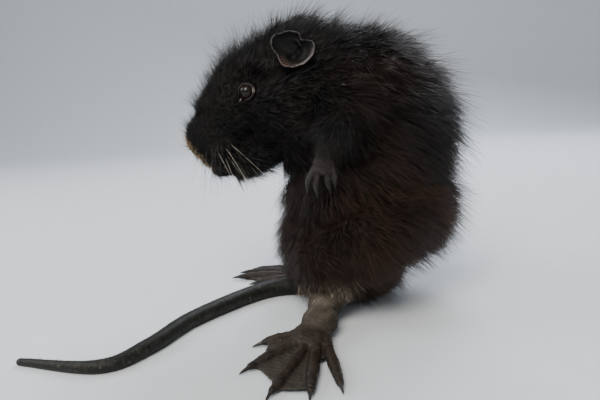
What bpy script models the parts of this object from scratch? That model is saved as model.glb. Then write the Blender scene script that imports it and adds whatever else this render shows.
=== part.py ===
"""A young black nutria that sits on its haunches with its tail laid forward, as a still, life-size model.

The animal faces -X, its left side is towards -Y and +Z is up, in metres. The origin is on the floor, at the
middle of the seat. The tables are in millimetres on an animal that sits 170 mm high, and U turns them to metres.
"""

import bisect
import math
import random

import bmesh
import bpy
from mathutils import Matrix, Vector
from mathutils.bvhtree import BVHTree

# Driving sizes.
SITTING_HEIGHT = 0.170  # floor to nape, without the tips of the coat
HEAD_PITCH = math.radians(35)  # how far the muzzle points down
GUARD_RISE = 0.0082  # how far the locks of the trunk stand out beyond the underfur
LOCK_SLENDER = 2.7  # length of a lock against its rise
LOCK_WIDTH = 0.60  # its width against its length
LOCK_FLATNESS = 0.32  # its thickness against its width
LOCK_SPACING = 0.92  # distance between roots against the width
CLOSEST_ROOTS = 0.0115  # between the roots of any two locks
LEAST_RISE = 0.0030  # where the coat is shorter there are no locks
ROOT_TRIES = 9000
LOCK_SINK = 0.0032  # how deep a root goes into the underfur
LOCK_CLEARANCE = 0.0022  # kept from bare skin, eyes and ears
EYE_RADIUS = 0.0046
EAR_RADIUS = 0.0119
EAR_WALL = 0.0013
TAIL_RADII = (0.0054, 0.0050, 0.0046, 0.0043, 0.0038, 0.0033, 0.0026, 0.0014)
FOOT_LENGTH = 0.092  # hind foot, heel to the end of the longest toe
PAW_LENGTH = 0.024
WEB_THICKNESS = 0.0012

U = SITTING_HEIGHT / 170
GAP = 0.0003  # between solids that touch
VOXEL = 0.0017  # grid that fuses the forms
BODY_FACES = 0.016  # share of the fused faces that the body keeps
HEAD_FACES = 0.041  # and the head, which is cut from a finer copy
FAR = 1.0  # wider than the whole model
SEED = 11

HEAD_ORIGIN = Vector((-45, 0, 148)) * U
HEAD = Matrix.Translation(HEAD_ORIGIN) @ Matrix.Rotation(-HEAD_PITCH, 4, "Y")

# Each form is a name, its centre, its three radii at the skin, its pitch in degrees and the coat over it. On the
# trunk that is the underfur, which the locks rise from. On the head and the limbs' ends it is the whole coat.
TRUNK_FORMS = (
    ("seat", (-6, 0, 27), (26, 32, 27), 0, 4),
    ("pelvis", (3, 0, 56), (44, 38, 38), 0, 7),
    ("lap", (-24, 0, 38), (29, 34, 34), 0, 4),
    ("belly", (-4, 0, 70), (43, 38, 40), 0, 7),
    ("chest", (2, 0, 106), (43, 34, 42), 0, 7),
    ("withers", (2, 0, 131), (34, 29, 29), 0, 8),
    ("nape", (-26, 0, 138), (30, 25, 25), -20, 8),
    ("throat", (-38, 0, 106), (18, 22, 26), 0, 6),
)
# One side only. The other is its mirror image.
LIMB_FORMS = (
    ("thigh", (-6, -33, 46), (33, 16, 19), -36, 7),
    ("knee", (-30, -36, 31), (16, 13, 17), 0, 4),
    ("shank", (-29, -38, 16), (10, 10, 12), 0, 2),
    ("shoulder", (-16, -28, 117), (18, 12, 20), 15, 6),
    ("elbow", (-18, -37, 105), (10, 7, 10), 0, 4),
)
# In the head's own frame: it faces -X along the muzzle, and the origin lies between the ears.
HEAD_FORMS = (
    ("cranium", (2, 0, 2), (27, 24, 19), 0, 7.5),
    ("brow", (-24, 0, 3.5), (28, 18, 18.5), 8, 3.2),
    ("midface", (-42, 0, -2.5), (24, 16.5, 20.5), 6, 1.5),
    ("muzzle", (-60, 0, -6.5), (19, 14, 16), 8, 0.8),
    ("nose", (-70, 0, -6.5), (9.6, 9.5, 8.5), 0, 0.4),
    ("upper_lip", (-67, 0, -15), (11.5, 10.5, 7.5), -12, 0.6),
    ("jaw", (-46, 0, -28), (26, 14.5, 13.5), 4, 2),
    ("chin", (-62, 0, -28), (12, 9, 8), 0, 0.8),
    ("gullet", (-18, 0, -22), (26, 20, 18), 0, 4),
)
# One side only, in the head's frame.
FACE_FORMS = (
    ("cheek", (-15, -13, -14), (25, 13, 16.5), 0, 3),
    ("whisker_pad", (-60, -7.5, -13), (13, 7.5, 8.5), 0, 0.6),
    ("eye_ring", (-29.5, -14.0, -0.5), (11, 7.5, 9), 0, 0.8),
)
FOREARM = ((-18, -38, 112), (-24, -46, 105), (-28.8, -49, 98))
FOREARM_RADII = (10, 8.5, 5.5)

EYE_CENTRE = Vector((-29.1, -19.0, 0.3)) * U
NOSTRIL_CENTRE = Vector((-78.6, -4.6, -5.5)) * U
MOUTH_CENTRE = Vector((-54, 0, -21.5)) * U
EAR_CENTRE = Vector((-42, -33, 152.4)) * U
EAR_FACING = Vector((-0.22, -0.95, 0.20))

TAIL_PATH = ((-36, 9), (-58, 9), (-73, 3), (-91, -13), (-112, -38), (-127, -67), (-147, -84), (-194, -70))
TAIL_CUTS = (0.0, 0.34, 0.67, 1.0)

# Each part of the sole is its centre along, across and up from the heel, and its three radii.
SOLE = ((4, 0, 8, 9, 7, 9), (16, 0, 10, 13, 9, 11), (30, 0, 8, 15, 10, 8), (43, 2.5, 5.4, 14, 11, 5.8))
# Hind toes from the inner one to the free outer one: root along and across, heading in degrees, and length.
HIND_TOES = (
    (38, 9.0, 65, 20),
    (48, 8.5, 37, 31),
    (52, 3.5, 13, 41),
    (52, -1.5, -6, 40),
    (45, -4.5, -15, 41),
)
WEBBED_TOES = 4
# Heel, heading in degrees out from straight ahead, and how far the toes are spread.
HIND_FEET = {"L": ((-30, -27), 78, 1.0), "R": ((4, 28), 14, 0.5)}
WRIST = (-28.8, -49, 97.8)
PALM = ((0, 0, 0, 5.0, 4.2, 5.5), (-0.6, -0.4, -5, 5.6, 3.8, 5.0), (-1.2, -0.6, -8.5, 6.2, 3.0, 3.6))
# Fore toes: root, knuckle and end, each as distances forward and down from the wrist.
FORE_TOES = (
    ((-5.4, -8), (-9.0, -13.5), (-9.7, -17.5)),
    ((-3.2, -9), (-5.4, -15.5), (-5.0, -20.5)),
    ((0.6, -9), (0.8, -14.5), (1.6, -18.5)),
    ((3.6, -8), (4.5, -13.5), (4.8, -17.0)),
)

THIGH_CUTTER = ((-6, -52, 37), (50, 30, 43))
ARM_CUTTER = ((-19, -52, 109), (25, 23, 27))
HEAD_PLANE = (Vector((-36, 0, 131)) * U, Vector((-0.957, 0, 0.288)))
NECK_PLANE = (Vector((-22, 0, 124)) * U, Vector((-0.864, 0, 0.503)))
WAIST_PLANE = (Vector((0, 0, 84)) * U, Vector((-0.25, 0, 0.97)))


def clear_scene():
    for thing in list(bpy.data.objects):
        bpy.data.objects.remove(thing)


def new_object(name, mesh):
    thing = bpy.data.objects.new(name, mesh)
    bpy.context.scene.collection.objects.link(thing)
    return thing


def from_bmesh(name, bm):
    mesh = bpy.data.meshes.new(name)
    bm.to_mesh(mesh)
    bm.free()
    return new_object(name, mesh)


def copy_of(thing, name):
    return new_object(name, thing.data.copy())


def apply_modifiers(thing):
    graph = bpy.context.evaluated_depsgraph_get()
    mesh = bpy.data.meshes.new_from_object(thing.evaluated_get(graph))
    thing.modifiers.clear()
    thing.data = mesh
    return thing


def boolean(thing, operation, others, solver="MANIFOLD"):
    """Applies one Boolean of thing with closed meshes, which are then removed."""
    tools = bpy.data.collections.new("tools")
    bpy.context.scene.collection.children.link(tools)
    for other in others:
        bpy.context.scene.collection.objects.unlink(other)
        tools.objects.link(other)
    modifier = thing.modifiers.new("Boolean", "BOOLEAN")
    modifier.operation = operation
    modifier.solver = solver
    modifier.operand_type = "COLLECTION"
    modifier.collection = tools
    apply_modifiers(thing)
    for other in others:
        bpy.data.objects.remove(other)
    bpy.data.collections.remove(tools)
    return thing


def keep_largest(thing):
    """Leaves only the closed surface with the most volume, so a scrap or a sealed hollow goes."""
    bm = bmesh.new()
    bm.from_mesh(thing.data)
    bmesh.ops.triangulate(bm, faces=bm.faces)
    islands, seen = [], set()
    for start in bm.faces:
        if start in seen:
            continue
        island, edge_of_it = [], [start]
        seen.add(start)
        while edge_of_it:
            face = edge_of_it.pop()
            island.append(face)
            for edge in face.edges:
                for near in edge.link_faces:
                    if near not in seen:
                        seen.add(near)
                        edge_of_it.append(near)
        islands.append(island)

    def volume(island):
        return sum(f.verts[0].co.dot(f.verts[1].co.cross(f.verts[2].co)) for f in island)

    islands.sort(key=volume)
    scraps = [face for island in islands[:-1] for face in island]
    if scraps:
        bmesh.ops.delete(bm, geom=scraps, context="FACES")
    bm.to_mesh(thing.data)
    bm.free()
    return thing


def ball(name, centre, radii, turn=None, segments=24):
    """An ellipsoid as its own object."""
    bm = bmesh.new()
    add_ball(bm, centre, radii, turn, segments)
    return from_bmesh(name, bm)


def add_ball(bm, centre, radii, turn=None, segments=24):
    matrix = Matrix.Translation(centre) @ (turn or Matrix()) @ Matrix.Diagonal((*radii, 1))
    bmesh.ops.create_uvsphere(bm, u_segments=segments, v_segments=segments // 2, radius=1, matrix=matrix)


def half_space(point, normal):
    """A block that fills the side of the plane that the normal points into."""
    bm = bmesh.new()
    turn = Vector(normal).to_track_quat("Z", "Y").to_matrix().to_4x4()
    matrix = Matrix.Translation(point) @ turn @ Matrix.Translation((0, 0, FAR / 2))
    bmesh.ops.create_cube(bm, size=FAR, matrix=matrix)
    return from_bmesh("half_space", bm)


def cut_beyond(thing, plane, side=1):
    """Cuts away what lies beyond the plane on one side, and half the gap more."""
    point, normal = plane
    towards = Vector(normal).normalized() * side
    return boolean(thing, "DIFFERENCE", [half_space(point - towards * GAP / 2, towards)])


def cut_floor(thing):
    return boolean(thing, "DIFFERENCE", [half_space((0, 0, 0), (0, 0, -1))])


def mirrored(point):
    return Vector((point[0], -point[1], point[2]))


def side_sign(side):
    return 1 if side == "L" else -1


def on_side(point, side):
    """A point given for the left side, moved to the side asked for."""
    return Vector(point) if side == "L" else mirrored(point)


def smooth_path(points, steps):
    """Points on a Catmull-Rom curve through the given ones."""
    points = [Vector(p) for p in points]
    ends = [points[0] * 2 - points[1], *points, points[-1] * 2 - points[-2]]
    made = []
    for i in range(len(points) - 1):
        a, b, c, d = ends[i : i + 4]
        for k in range(steps):
            t = k / steps
            made.append(
                (b * 2 + (c - a) * t + (a * 2 - b * 5 + c * 4 - d) * t**2 + (b * 3 - a - c * 3 + d) * t**3) / 2
            )
    return [*made, points[-1]]


def tapered_tube(name, points, radii, sides=8):
    """A round tube along the points with its own radius at each, as a closed mesh."""
    curve = bpy.data.curves.new(name, "CURVE")
    curve.dimensions = "3D"
    curve.bevel_depth = 1.0
    curve.bevel_resolution = max(0, sides // 2 - 2)
    curve.use_fill_caps = True
    spline = curve.splines.new("POLY")
    spline.points.add(len(points) - 1)
    for place, point, radius in zip(spline.points, points, radii):
        place.co = (*point, 1)
        place.radius = radius
    guide = new_object(name + "_guide", curve)
    graph = bpy.context.evaluated_depsgraph_get()
    mesh = bpy.data.meshes.new_from_object(guide.evaluated_get(graph))
    bpy.data.objects.remove(guide)
    bm = bmesh.new()
    bm.from_mesh(mesh)
    bmesh.ops.remove_doubles(bm, verts=bm.verts, dist=1e-6)
    bmesh.ops.recalc_face_normals(bm, faces=bm.faces)
    return from_bmesh(name, bm)


def body_forms():
    """Every form of the trunk, limbs and head in one mesh, grown by its underfur."""
    bm = bmesh.new()
    for forms, frame, both in (
        (TRUNK_FORMS, Matrix(), False),
        (LIMB_FORMS, Matrix(), True),
        (HEAD_FORMS, HEAD, False),
        (FACE_FORMS, HEAD, True),
    ):
        for _, centre, radii, pitch, fur in forms:
            turn = frame.to_3x3().to_4x4() @ Matrix.Rotation(math.radians(pitch), 4, "Y")
            grown = [(r + fur) * U for r in radii]
            for side in ("L", "R") if both else ("L",):
                add_ball(bm, frame @ (on_side(centre, side) * U), grown, turn)
    for side in ("L", "R"):
        path = smooth_path([on_side(p, side) * U for p in FOREARM], 5)
        for i, point in enumerate(path):
            share = 2 * i / (len(path) - 1)
            near = min(int(share), 1)
            radius = FOREARM_RADII[near] + (FOREARM_RADII[near + 1] - FOREARM_RADII[near]) * (share - near)
            add_ball(bm, point, (radius * U,) * 3, segments=12)
    return from_bmesh("body", bm)


def fused_body():
    """The forms melted into one smooth skin, which is softer on the trunk than on the face."""
    body = body_forms()
    melt = body.modifiers.new("Melt", "REMESH")
    melt.mode = "VOXEL"
    melt.voxel_size = VOXEL
    apply_modifiers(body)
    soft = body.vertex_groups.new(name="soft")
    to_head = HEAD.inverted()
    for vertex in body.data.vertices:
        ahead = -(to_head @ vertex.co).x / U
        soft.add([vertex.index], min(1.0, max(0.5, 1.0 - (ahead - 5) / 60)), "REPLACE")
    smooth = body.modifiers.new("Smooth", "SMOOTH")
    smooth.factor = 0.5
    smooth.iterations = 24
    smooth.vertex_group = "soft"
    return apply_modifiers(body)


def thinned(thing, name, share):
    """A copy with that share of its faces."""
    copy = copy_of(thing, name)
    fewer = copy.modifiers.new("Fewer", "DECIMATE")
    fewer.ratio = share
    return apply_modifiers(copy)


def grown(thing, name, distance):
    """A copy whose surface lies further out, for cutting what meets it."""
    copy = copy_of(thing, name)
    for vertex, normal in zip(copy.data.vertices, [v.normal.copy() for v in copy.data.vertices]):
        vertex.co += normal * distance
    return copy


def surface_of(thing):
    bm = bmesh.new()
    bm.from_mesh(thing.data)
    tree = BVHTree.FromBMesh(bm)
    bm.free()
    return tree


def eye(side):
    centre = HEAD @ on_side(EYE_CENTRE, side)
    return ball("eye_" + side, centre, (EYE_RADIUS,) * 3, segments=12)


def lid_ring(side):
    """The rim of the lids, longer towards the tear duct, which is at the front and low."""
    bm = bmesh.new()
    rim, thickness, around, across = EYE_RADIUS * 0.88, 0.00095, 14, 6
    outward = Vector((-0.20, -0.97, 0.12)).normalized()
    for i in range(around):
        angle = 2 * math.pi * i / around
        reach = rim * (1 + 0.22 * max(0.0, math.cos(angle - math.radians(212))) ** 3)
        middle = Vector((math.cos(angle) * reach, 0, math.sin(angle) * reach))
        for k in range(across):
            turn = 2 * math.pi * k / across
            out = middle.normalized() * math.cos(turn) * thickness + Vector((0, -math.sin(turn) * thickness, 0))
            bm.verts.new(middle + out)
    bm.verts.ensure_lookup_table()
    for i in range(around):
        for k in range(across):
            j, m = (i + 1) % around, (k + 1) % across
            corners = (i * across + k, j * across + k, j * across + m, i * across + m)
            bm.faces.new([bm.verts[c] for c in corners])
    turn = Vector((0, -1, 0)).rotation_difference(outward).to_matrix().to_4x4()
    place = Matrix.Translation(EYE_CENTRE + outward * EYE_RADIUS * 0.52) @ turn
    flip = Matrix.Diagonal((1, side_sign(side), 1, 1))
    bmesh.ops.transform(bm, matrix=HEAD @ flip @ place, verts=bm.verts)
    bmesh.ops.recalc_face_normals(bm, faces=bm.faces)
    return from_bmesh("lid_ring", bm)


def mouth_line(surface):
    """A thin groove that follows the lips round the front of the muzzle."""
    points = []
    for degrees in range(-112, 113, 16):
        angle = math.radians(degrees)
        start = HEAD @ MOUTH_CENTRE
        out = HEAD.to_3x3() @ Vector((-math.cos(angle), math.sin(angle), 0.10 * math.cos(angle) - 0.08))
        hit = surface.ray_cast(start, out.normalized())[0]
        points.append(hit)
    ends = (0.00025, 0.0006)
    radii = [ends[0], *[ends[1]] * (len(points) - 2), ends[0]]
    return tapered_tube("mouth_line", points, radii, sides=6)


def nostril(side):
    turn = HEAD.to_3x3().to_4x4() @ Matrix.Rotation(math.radians(35 * side_sign(side)), 4, "Z")
    return ball("nostril", HEAD @ on_side(NOSTRIL_CENTRE, side), (0.0028, 0.0010, 0.0017), turn, 12)


def ear_place(side):
    """The ear's own X points back along the head, its Y up and its Z the way the cup opens."""
    opens = EAR_FACING.normalized()
    back = Vector((1, 0, 0))
    back = (back - opens * back.dot(opens)).normalized()
    up = opens.cross(back)
    turn = Matrix((back, up, opens)).transposed().to_4x4()
    flip = Matrix.Diagonal((1, side_sign(side), 1, 1))
    return flip @ Matrix.Translation(EAR_CENTRE) @ turn


def ear_bowl(radius):
    """Half a squashed ball with a notch behind its top."""
    bm = bmesh.new()
    bmesh.ops.create_uvsphere(bm, u_segments=18, v_segments=8, radius=1)
    bmesh.ops.delete(bm, geom=[v for v in bm.verts if v.co.z > 0.02], context="VERTS")
    notch_at, flat_at = math.radians(50), math.radians(-140)
    for vertex in bm.verts:
        angle = math.atan2(vertex.co.y, vertex.co.x)
        out = math.hypot(vertex.co.x, vertex.co.y)
        notch = 0.34 * math.exp(-(((angle - notch_at) / math.radians(16)) ** 2))
        flat = 0.10 * math.exp(-(((angle - flat_at) / math.radians(35)) ** 2))
        scale = radius * (1 - (notch + flat) * out**2)
        vertex.co = (vertex.co.x * scale, vertex.co.y * scale * 0.83, vertex.co.z * radius * 0.58)
    return bm


def ear(side):
    """A shallow cup of gristle with a wall of even thickness."""
    bm = ear_bowl(EAR_RADIUS)
    bmesh.ops.transform(bm, matrix=ear_place(side), verts=bm.verts)
    bmesh.ops.recalc_face_normals(bm, faces=bm.faces)
    cup = from_bmesh("ear_" + side, bm)
    wall = cup.modifiers.new("Wall", "SOLIDIFY")
    wall.thickness = EAR_WALL
    wall.offset = 0
    return apply_modifiers(cup)


def ear_hollow(side):
    """The room that the cup takes in the fur of the head, open to the front of it."""
    bm = ear_bowl(EAR_RADIUS)
    bm.normal_update()
    deepest = min(bm.verts, key=lambda vertex: vertex.co.z)
    outwards = -1 if deepest.normal.z > 0 else 1
    for vertex in bm.verts:
        vertex.co += vertex.normal * outwards * (EAR_WALL / 2 + 1.5 * GAP)
    rim = [edge for edge in bm.edges if edge.is_boundary]
    raised = bmesh.ops.extrude_edge_only(bm, edges=rim)["geom"]
    for vertex in raised:
        if isinstance(vertex, bmesh.types.BMVert):
            vertex.co.z += EAR_RADIUS
    bmesh.ops.holes_fill(bm, edges=[edge for edge in bm.edges if edge.is_boundary], sides=0)
    bmesh.ops.transform(bm, matrix=ear_place(side), verts=bm.verts)
    bmesh.ops.recalc_face_normals(bm, faces=bm.faces)
    return from_bmesh("ear_hollow", bm)


def tail(clear_body):
    """One tapering tube that lies on the floor, cut across into three lengths."""
    line = smooth_path([(x * U, y * U, 0) for x, y in TAIL_PATH], 3)
    spread = len(TAIL_RADII) - 1
    radii = []
    for i in range(len(line)):
        share = i / (len(line) - 1) * spread
        near = min(int(share), spread - 1)
        radii.append(TAIL_RADII[near] + (TAIL_RADII[near + 1] - TAIL_RADII[near]) * (share - near))
    onward = (line[-1] - line[-2]).normalized()
    line.append(line[-1] + onward * radii[-1] * 0.8)
    radii.append(radii[-1] * 0.4)
    for point, radius in zip(line, radii):
        point.z = radius * 0.93
    line[-1].z = line[-2].z
    names = ("tail_root", "tail_middle", "tail_end")
    whole = tapered_tube("tail", line, radii, sides=8)
    cut_floor(whole)
    made = []
    for name, start, end in zip(names, TAIL_CUTS, TAIL_CUTS[1:]):
        length = copy_of(whole, name)
        for share, side in ((start, -1), (end, 1)):
            if 0 < share < 1:
                i = round(share * (len(line) - 2))
                along = line[i + 1] - line[i - 1]
                cut_beyond(length, (line[i], Vector((along.x, along.y, 0))), side)
        if not start:
            boolean(length, "DIFFERENCE", [copy_of(clear_body, "body_cutter")])
        made.append(keep_largest(length))
    bpy.data.objects.remove(whole)
    return made


def toe_points(root, heading, length, rise):
    """The middle line of a toe that arches down from its root to its tip."""
    along = Vector((-math.cos(heading), math.sin(heading), 0))
    return [Vector(root) + along * length * t + Vector((0, 0, rise * (1 - t) ** 1.6)) for t in (-0.15, 0, 0.3, 0.6, 0.85, 1)]


def claw(name, tip, forward, length, radius, droop):
    """A curved, tapering claw whose flat root faces the end of its toe."""
    start = tip + forward * GAP
    points = [start + forward * length * t + Vector((0, 0, -droop * t * t)) for t in (0, 0.55, 1)]
    return tapered_tube(name, points, [radius, radius * 0.75, 0.0002], sides=6)


def web(name, first, second, reach):
    """The skin between two toes, hollowed along its free edge, as an open grid thickened both ways."""
    bm = bmesh.new()
    bmesh.ops.create_grid(bm, x_segments=4, y_segments=3, size=0.5)
    for vertex in bm.verts:
        along, across = vertex.co.x + 0.5, vertex.co.y + 0.5
        hollow = 1 - 0.20 * math.sin(math.pi * across)
        share = along * reach * hollow
        a = first[0].lerp(first[1], share)
        b = second[0].lerp(second[1], share)
        vertex.co = a.lerp(b, across)
        vertex.co.z = 0.0016 + (1 - share) * 0.0022
    bmesh.ops.recalc_face_normals(bm, faces=bm.faces)
    skin = from_bmesh(name, bm)
    wall = skin.modifiers.new("Wall", "SOLIDIFY")
    wall.thickness = WEB_THICKNESS
    wall.offset = 0
    return apply_modifiers(skin)


def fused(name, parts, voxel, share, rounds):
    """Ellipsoids given as a centre and three radii, melted into one mesh with fewer faces."""
    bm = bmesh.new()
    for centre, radii in parts:
        add_ball(bm, centre, radii, segments=16)
    made = from_bmesh(name, bm)
    melt = made.modifiers.new("Melt", "REMESH")
    melt.mode = "VOXEL"
    melt.voxel_size = voxel
    apply_modifiers(made)
    smooth = made.modifiers.new("Smooth", "SMOOTH")
    smooth.iterations = rounds
    fewer = made.modifiers.new("Fewer", "DECIMATE")
    fewer.ratio = share
    return apply_modifiers(made)


def hind_foot(side, clear_body):
    """The flat foot with five toes, webs between the first four, and a claw for each toe."""
    (heel_x, heel_y), heading, spread = HIND_FEET[side]
    size = FOOT_LENGTH / 92
    sole = [(Vector((-a, c, h)) * size, Vector((l, w, t)) * size) for a, c, h, l, w, t in SOLE]
    foot = fused("hind_foot_" + side, sole, VOXEL * 0.9, 0.035, 6)
    pieces, lines, claws = [], [], []
    for number, (along, across, degrees, length) in enumerate(HIND_TOES, 1):
        angle = math.radians(degrees * spread)
        points = toe_points(Vector((-along, across, 3.2)) * size, angle, length * size, 2.4 * size)
        radii = [r * size for r in (3.4, 3.3, 2.9, 3.0, 2.5, 1.8)]
        for point, radius in zip(points, radii):
            point.z = radius * 0.88 + max(0.0, point.z - radius * 0.88) * 0.6
        pieces.append(tapered_tube("toe", points, radii, sides=6))
        lines.append((points[1], points[-1]))
        forward = (points[-1] - points[-2]).normalized()
        claws.append(claw(f"claw_hind_{side}_{number}", points[-1], forward, 7.0 * size, 1.4 * size, 0.6 * size))
    for number in range(WEBBED_TOES - 1):
        pieces.append(web("web", lines[number], lines[number + 1], 0.86))
    pieces.append(web("web", lines[3], lines[4], 0.40))
    boolean(foot, "UNION", pieces)

    flip = Matrix.Diagonal((1, side_sign(side), 1, 1))
    outward = Matrix.Rotation(math.radians(heading) * side_sign(side), 4, "Z")
    place = Matrix.Translation((heel_x * U, heel_y * U, 0)) @ outward @ flip
    made = [foot, *claws]
    for thing in made:
        thing.data.transform(place)
        if side == "R":
            thing.data.flip_normals()
        cut_floor(thing)
        boolean(thing, "DIFFERENCE", [copy_of(clear_body, "body_cutter")])
        keep_largest(thing)
    return made


def forepaw(side, clear_body):
    """A hand that hangs from the wrist with its back outwards and four curled toes."""
    wrist = on_side(WRIST, side) * U
    size = PAW_LENGTH / 24
    out = -side_sign(side)
    palm = [(wrist + Vector((x, -out * y, z)) * size, Vector(radii) * size) for x, y, z, *radii in PALM]
    paw = fused("forepaw_" + side, palm, VOXEL * 0.55, 0.05, 2)
    pieces, claws = [], []
    for number, joints in enumerate(FORE_TOES, 1):
        bulge = (0.2, 1.0, -0.2)
        joints = [wrist + Vector((x, out * b, z)) * size for (x, z), b in zip(joints, bulge)]
        points = smooth_path(joints, 2)
        radii = [r * size for r in (2.0, 1.8, 1.75, 1.6, 1.2)]
        pieces.append(tapered_tube("toe", points, radii, sides=6))
        forward = (points[-1] - points[-2]).normalized()
        name = f"claw_fore_{side}_{number}"
        claws.append(claw(name, points[-1], forward, 4.6 * size, 1.0 * size, 0.0))
    boolean(paw, "UNION", pieces)
    made = [paw, *claws]
    for thing in made:
        boolean(thing, "DIFFERENCE", [copy_of(clear_body, "body_cutter")])
        keep_largest(thing)
    return made


def ease(low, high, value):
    """Goes smoothly from 0 at low to 1 at high."""
    share = min(1.0, max(0.0, (value - low) / (high - low)))
    return share * share * (3 - 2 * share)


def head_share(point):
    """1 on the head, 0 on the trunk, and between them on the neck."""
    middle, forwards = HEAD_PLANE
    return ease(-0.022, 0.004, (point - middle).dot(forwards.normalized())) * ease(0.068, 0.088, point.z)


def lie_of_coat(point, normal):
    """The way the hair points: back along the neck, and back and down on the trunk."""
    on_neck = HEAD.to_3x3() @ Vector((1, 0, -0.25))
    on_trunk = Vector((0.62, 0, -0.78))
    share = head_share(point)
    lie = on_neck * share + on_trunk * (1 - share) + Vector((0, math.copysign(0.12, point.y), 0))
    return (lie - normal * lie.dot(normal)).normalized()


def guard_rise(point, normal):
    """How far the guard hairs stand out here, and nothing on the head and close to the floor."""
    rump = ease(0.010, 0.045, point.x) * (1 - ease(0.080, 0.115, point.z))
    trunk = GUARD_RISE * (1 + 0.2 * rump) * (1 - 0.45 * ease(0.35, 0.9, -normal.x))
    trunk *= ease(0.006, 0.030, point.z)
    return trunk * (1 - head_share(point))


def lock(bm, root, normal, lie, rise, roll):
    """Adds one flat, tapered, bent lock whose root is sunk in the underfur."""
    length = rise * LOCK_SLENDER
    width = length * LOCK_WIDTH
    side = (normal.cross(lie) + normal * roll).normalized()
    over = lie.cross(side)
    over = over if over.dot(normal) > 0 else -over
    rings = []
    for share, wide in ((0.0, 0.62), (0.36, 1.0), (0.72, 0.70)):
        height = -LOCK_SINK + (rise + LOCK_SINK) * (1.45 * share - 0.45 * share * share)
        middle = root + lie * length * share + normal * height
        half, thick = width * wide / 2, width * wide * LOCK_FLATNESS / 2
        offsets = (side * half, over * thick, -side * half, -over * thick)
        rings.append([bm.verts.new(middle + offset) for offset in offsets])
    tip = bm.verts.new(root + lie * length + normal * rise)
    bm.faces.new(rings[0][::-1])
    for ring, onward in zip(rings, rings[1:]):
        for k in range(4):
            bm.faces.new((ring[k], ring[(k + 1) % 4], onward[(k + 1) % 4], onward[k]))
    for k in range(4):
        bm.faces.new((rings[-1][k], rings[-1][(k + 1) % 4], tip))


def lock_roots(surface, chance):
    """Points spread over the skin at random, weighted by area, each with its face's normal."""
    faces = [(f.center.copy(), f.normal.copy(), f.area) for f in surface.data.polygons]
    total, mounting = 0.0, []
    for _, _, area in faces:
        total += area
        mounting.append(total)
    for _ in range(ROOT_TRIES):
        centre, normal, _ = faces[bisect.bisect(mounting, chance.random() * total)]
        yield centre, normal


def divided_body(fine, coarse):
    """The head of the fine body on the trunk of the coarse one, with its eyes, nose, mouth and ears cut in."""
    head = copy_of(fine, "whole_body")
    boolean(head, "UNION", [lid_ring(side) for side in ("L", "R")])
    cutters = [ball("socket", HEAD @ on_side(EYE_CENTRE, s), (EYE_RADIUS + GAP,) * 3, segments=12) for s in ("L", "R")]
    cutters += [mouth_line(surface_of(fine)), nostril("L"), nostril("R"), ear_hollow("L"), ear_hollow("R")]
    boolean(head, "DIFFERENCE", cutters)
    cut_beyond(head, HEAD_PLANE, -1)
    trunk = copy_of(coarse, "trunk")
    point, normal = HEAD_PLANE
    cut_beyond(trunk, (point + normal.normalized() * GAP * 1.5, normal), 1)
    return boolean(keep_largest(head), "UNION", [keep_largest(trunk)])


def with_locks(body, surface, bare):
    """The body with locks set all over its long coat, fused in one Boolean."""
    chance = random.Random(SEED)
    kept, locks = [], []
    for root, normal in lock_roots(surface, chance):
        rise = guard_rise(root, normal) * chance.uniform(0.86, 1.12)
        if rise < LEAST_RISE:
            continue
        length = rise * LOCK_SLENDER
        apart = max(length * LOCK_WIDTH * LOCK_SPACING, CLOSEST_ROOTS)
        if any((root - other).length < (apart + reach) / 2 for other, reach in kept):
            continue
        lie = lie_of_coat(root, normal)
        lie = (lie + normal.cross(lie) * chance.uniform(-0.22, 0.22)).normalized()
        places = [root + lie * length * t + normal * rise * t for t in (0.1, 0.4, 0.7, 1.0)]
        if min(p.z for p in places) < 0.003 + length * 0.12:
            continue
        if any(tree.find_nearest(p)[3] < LOCK_CLEARANCE + length * 0.16 for tree in bare for p in places):
            continue
        kept.append((root, apart))
        bm = bmesh.new()
        lock(bm, root, normal, lie, rise, chance.uniform(-0.25, 0.25))
        bmesh.ops.recalc_face_normals(bm, faces=bm.faces)
        locks.append(from_bmesh("lock", bm))
    return boolean(body, "UNION", locks)


def cut_region(thing, planes, limbs=()):
    """Cuts a copy of the body down to one node: what the planes leave, clear of the limbs' cutters."""
    for plane, side in planes:
        cut_beyond(thing, plane, side)
    if limbs:
        boolean(thing, "DIFFERENCE", [limb_cutter(spec, side, GAP / 2) for spec in limbs for side in ("L", "R")])
    return keep_largest(thing)


def limb_cutter(spec, side, grow):
    centre, radii = spec
    return ball("limb_cutter", on_side(centre, side) * U, [r * U + grow for r in radii])


MATERIALS = {
    "black_fur": ((0.012, 0.010, 0.009), 0.62),
    "bare_skin": ((0.045, 0.038, 0.036), 0.50),
    "ear_skin": ((0.035, 0.030, 0.030), 0.55),
    "tail_scale": ((0.050, 0.045, 0.038), 0.55),
    "eye": ((0.015, 0.008, 0.006), 0.08),
    "claw": ((0.030, 0.026, 0.024), 0.35),
}


def material(name):
    colour, roughness = MATERIALS[name]
    made = bpy.data.materials.get(name) or bpy.data.materials.new(name)
    made.use_nodes = True
    shader = made.node_tree.nodes["Principled BSDF"]
    shader.inputs["Base Color"].default_value = (*colour, 1)
    shader.inputs["Roughness"].default_value = roughness
    shader.inputs["Metallic"].default_value = 0
    return made


def finish(things, name, collection):
    """Gives each node its one material, smooth shading and its place in the model's collection."""
    for thing in things:
        thing.data.materials.clear()
        thing.data.materials.append(material(name))
        thing.data.shade_smooth()
        thing.data.set_sharp_from_angle(angle=math.radians(40))
        bpy.context.scene.collection.objects.unlink(thing)
        collection.objects.link(thing)


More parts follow.
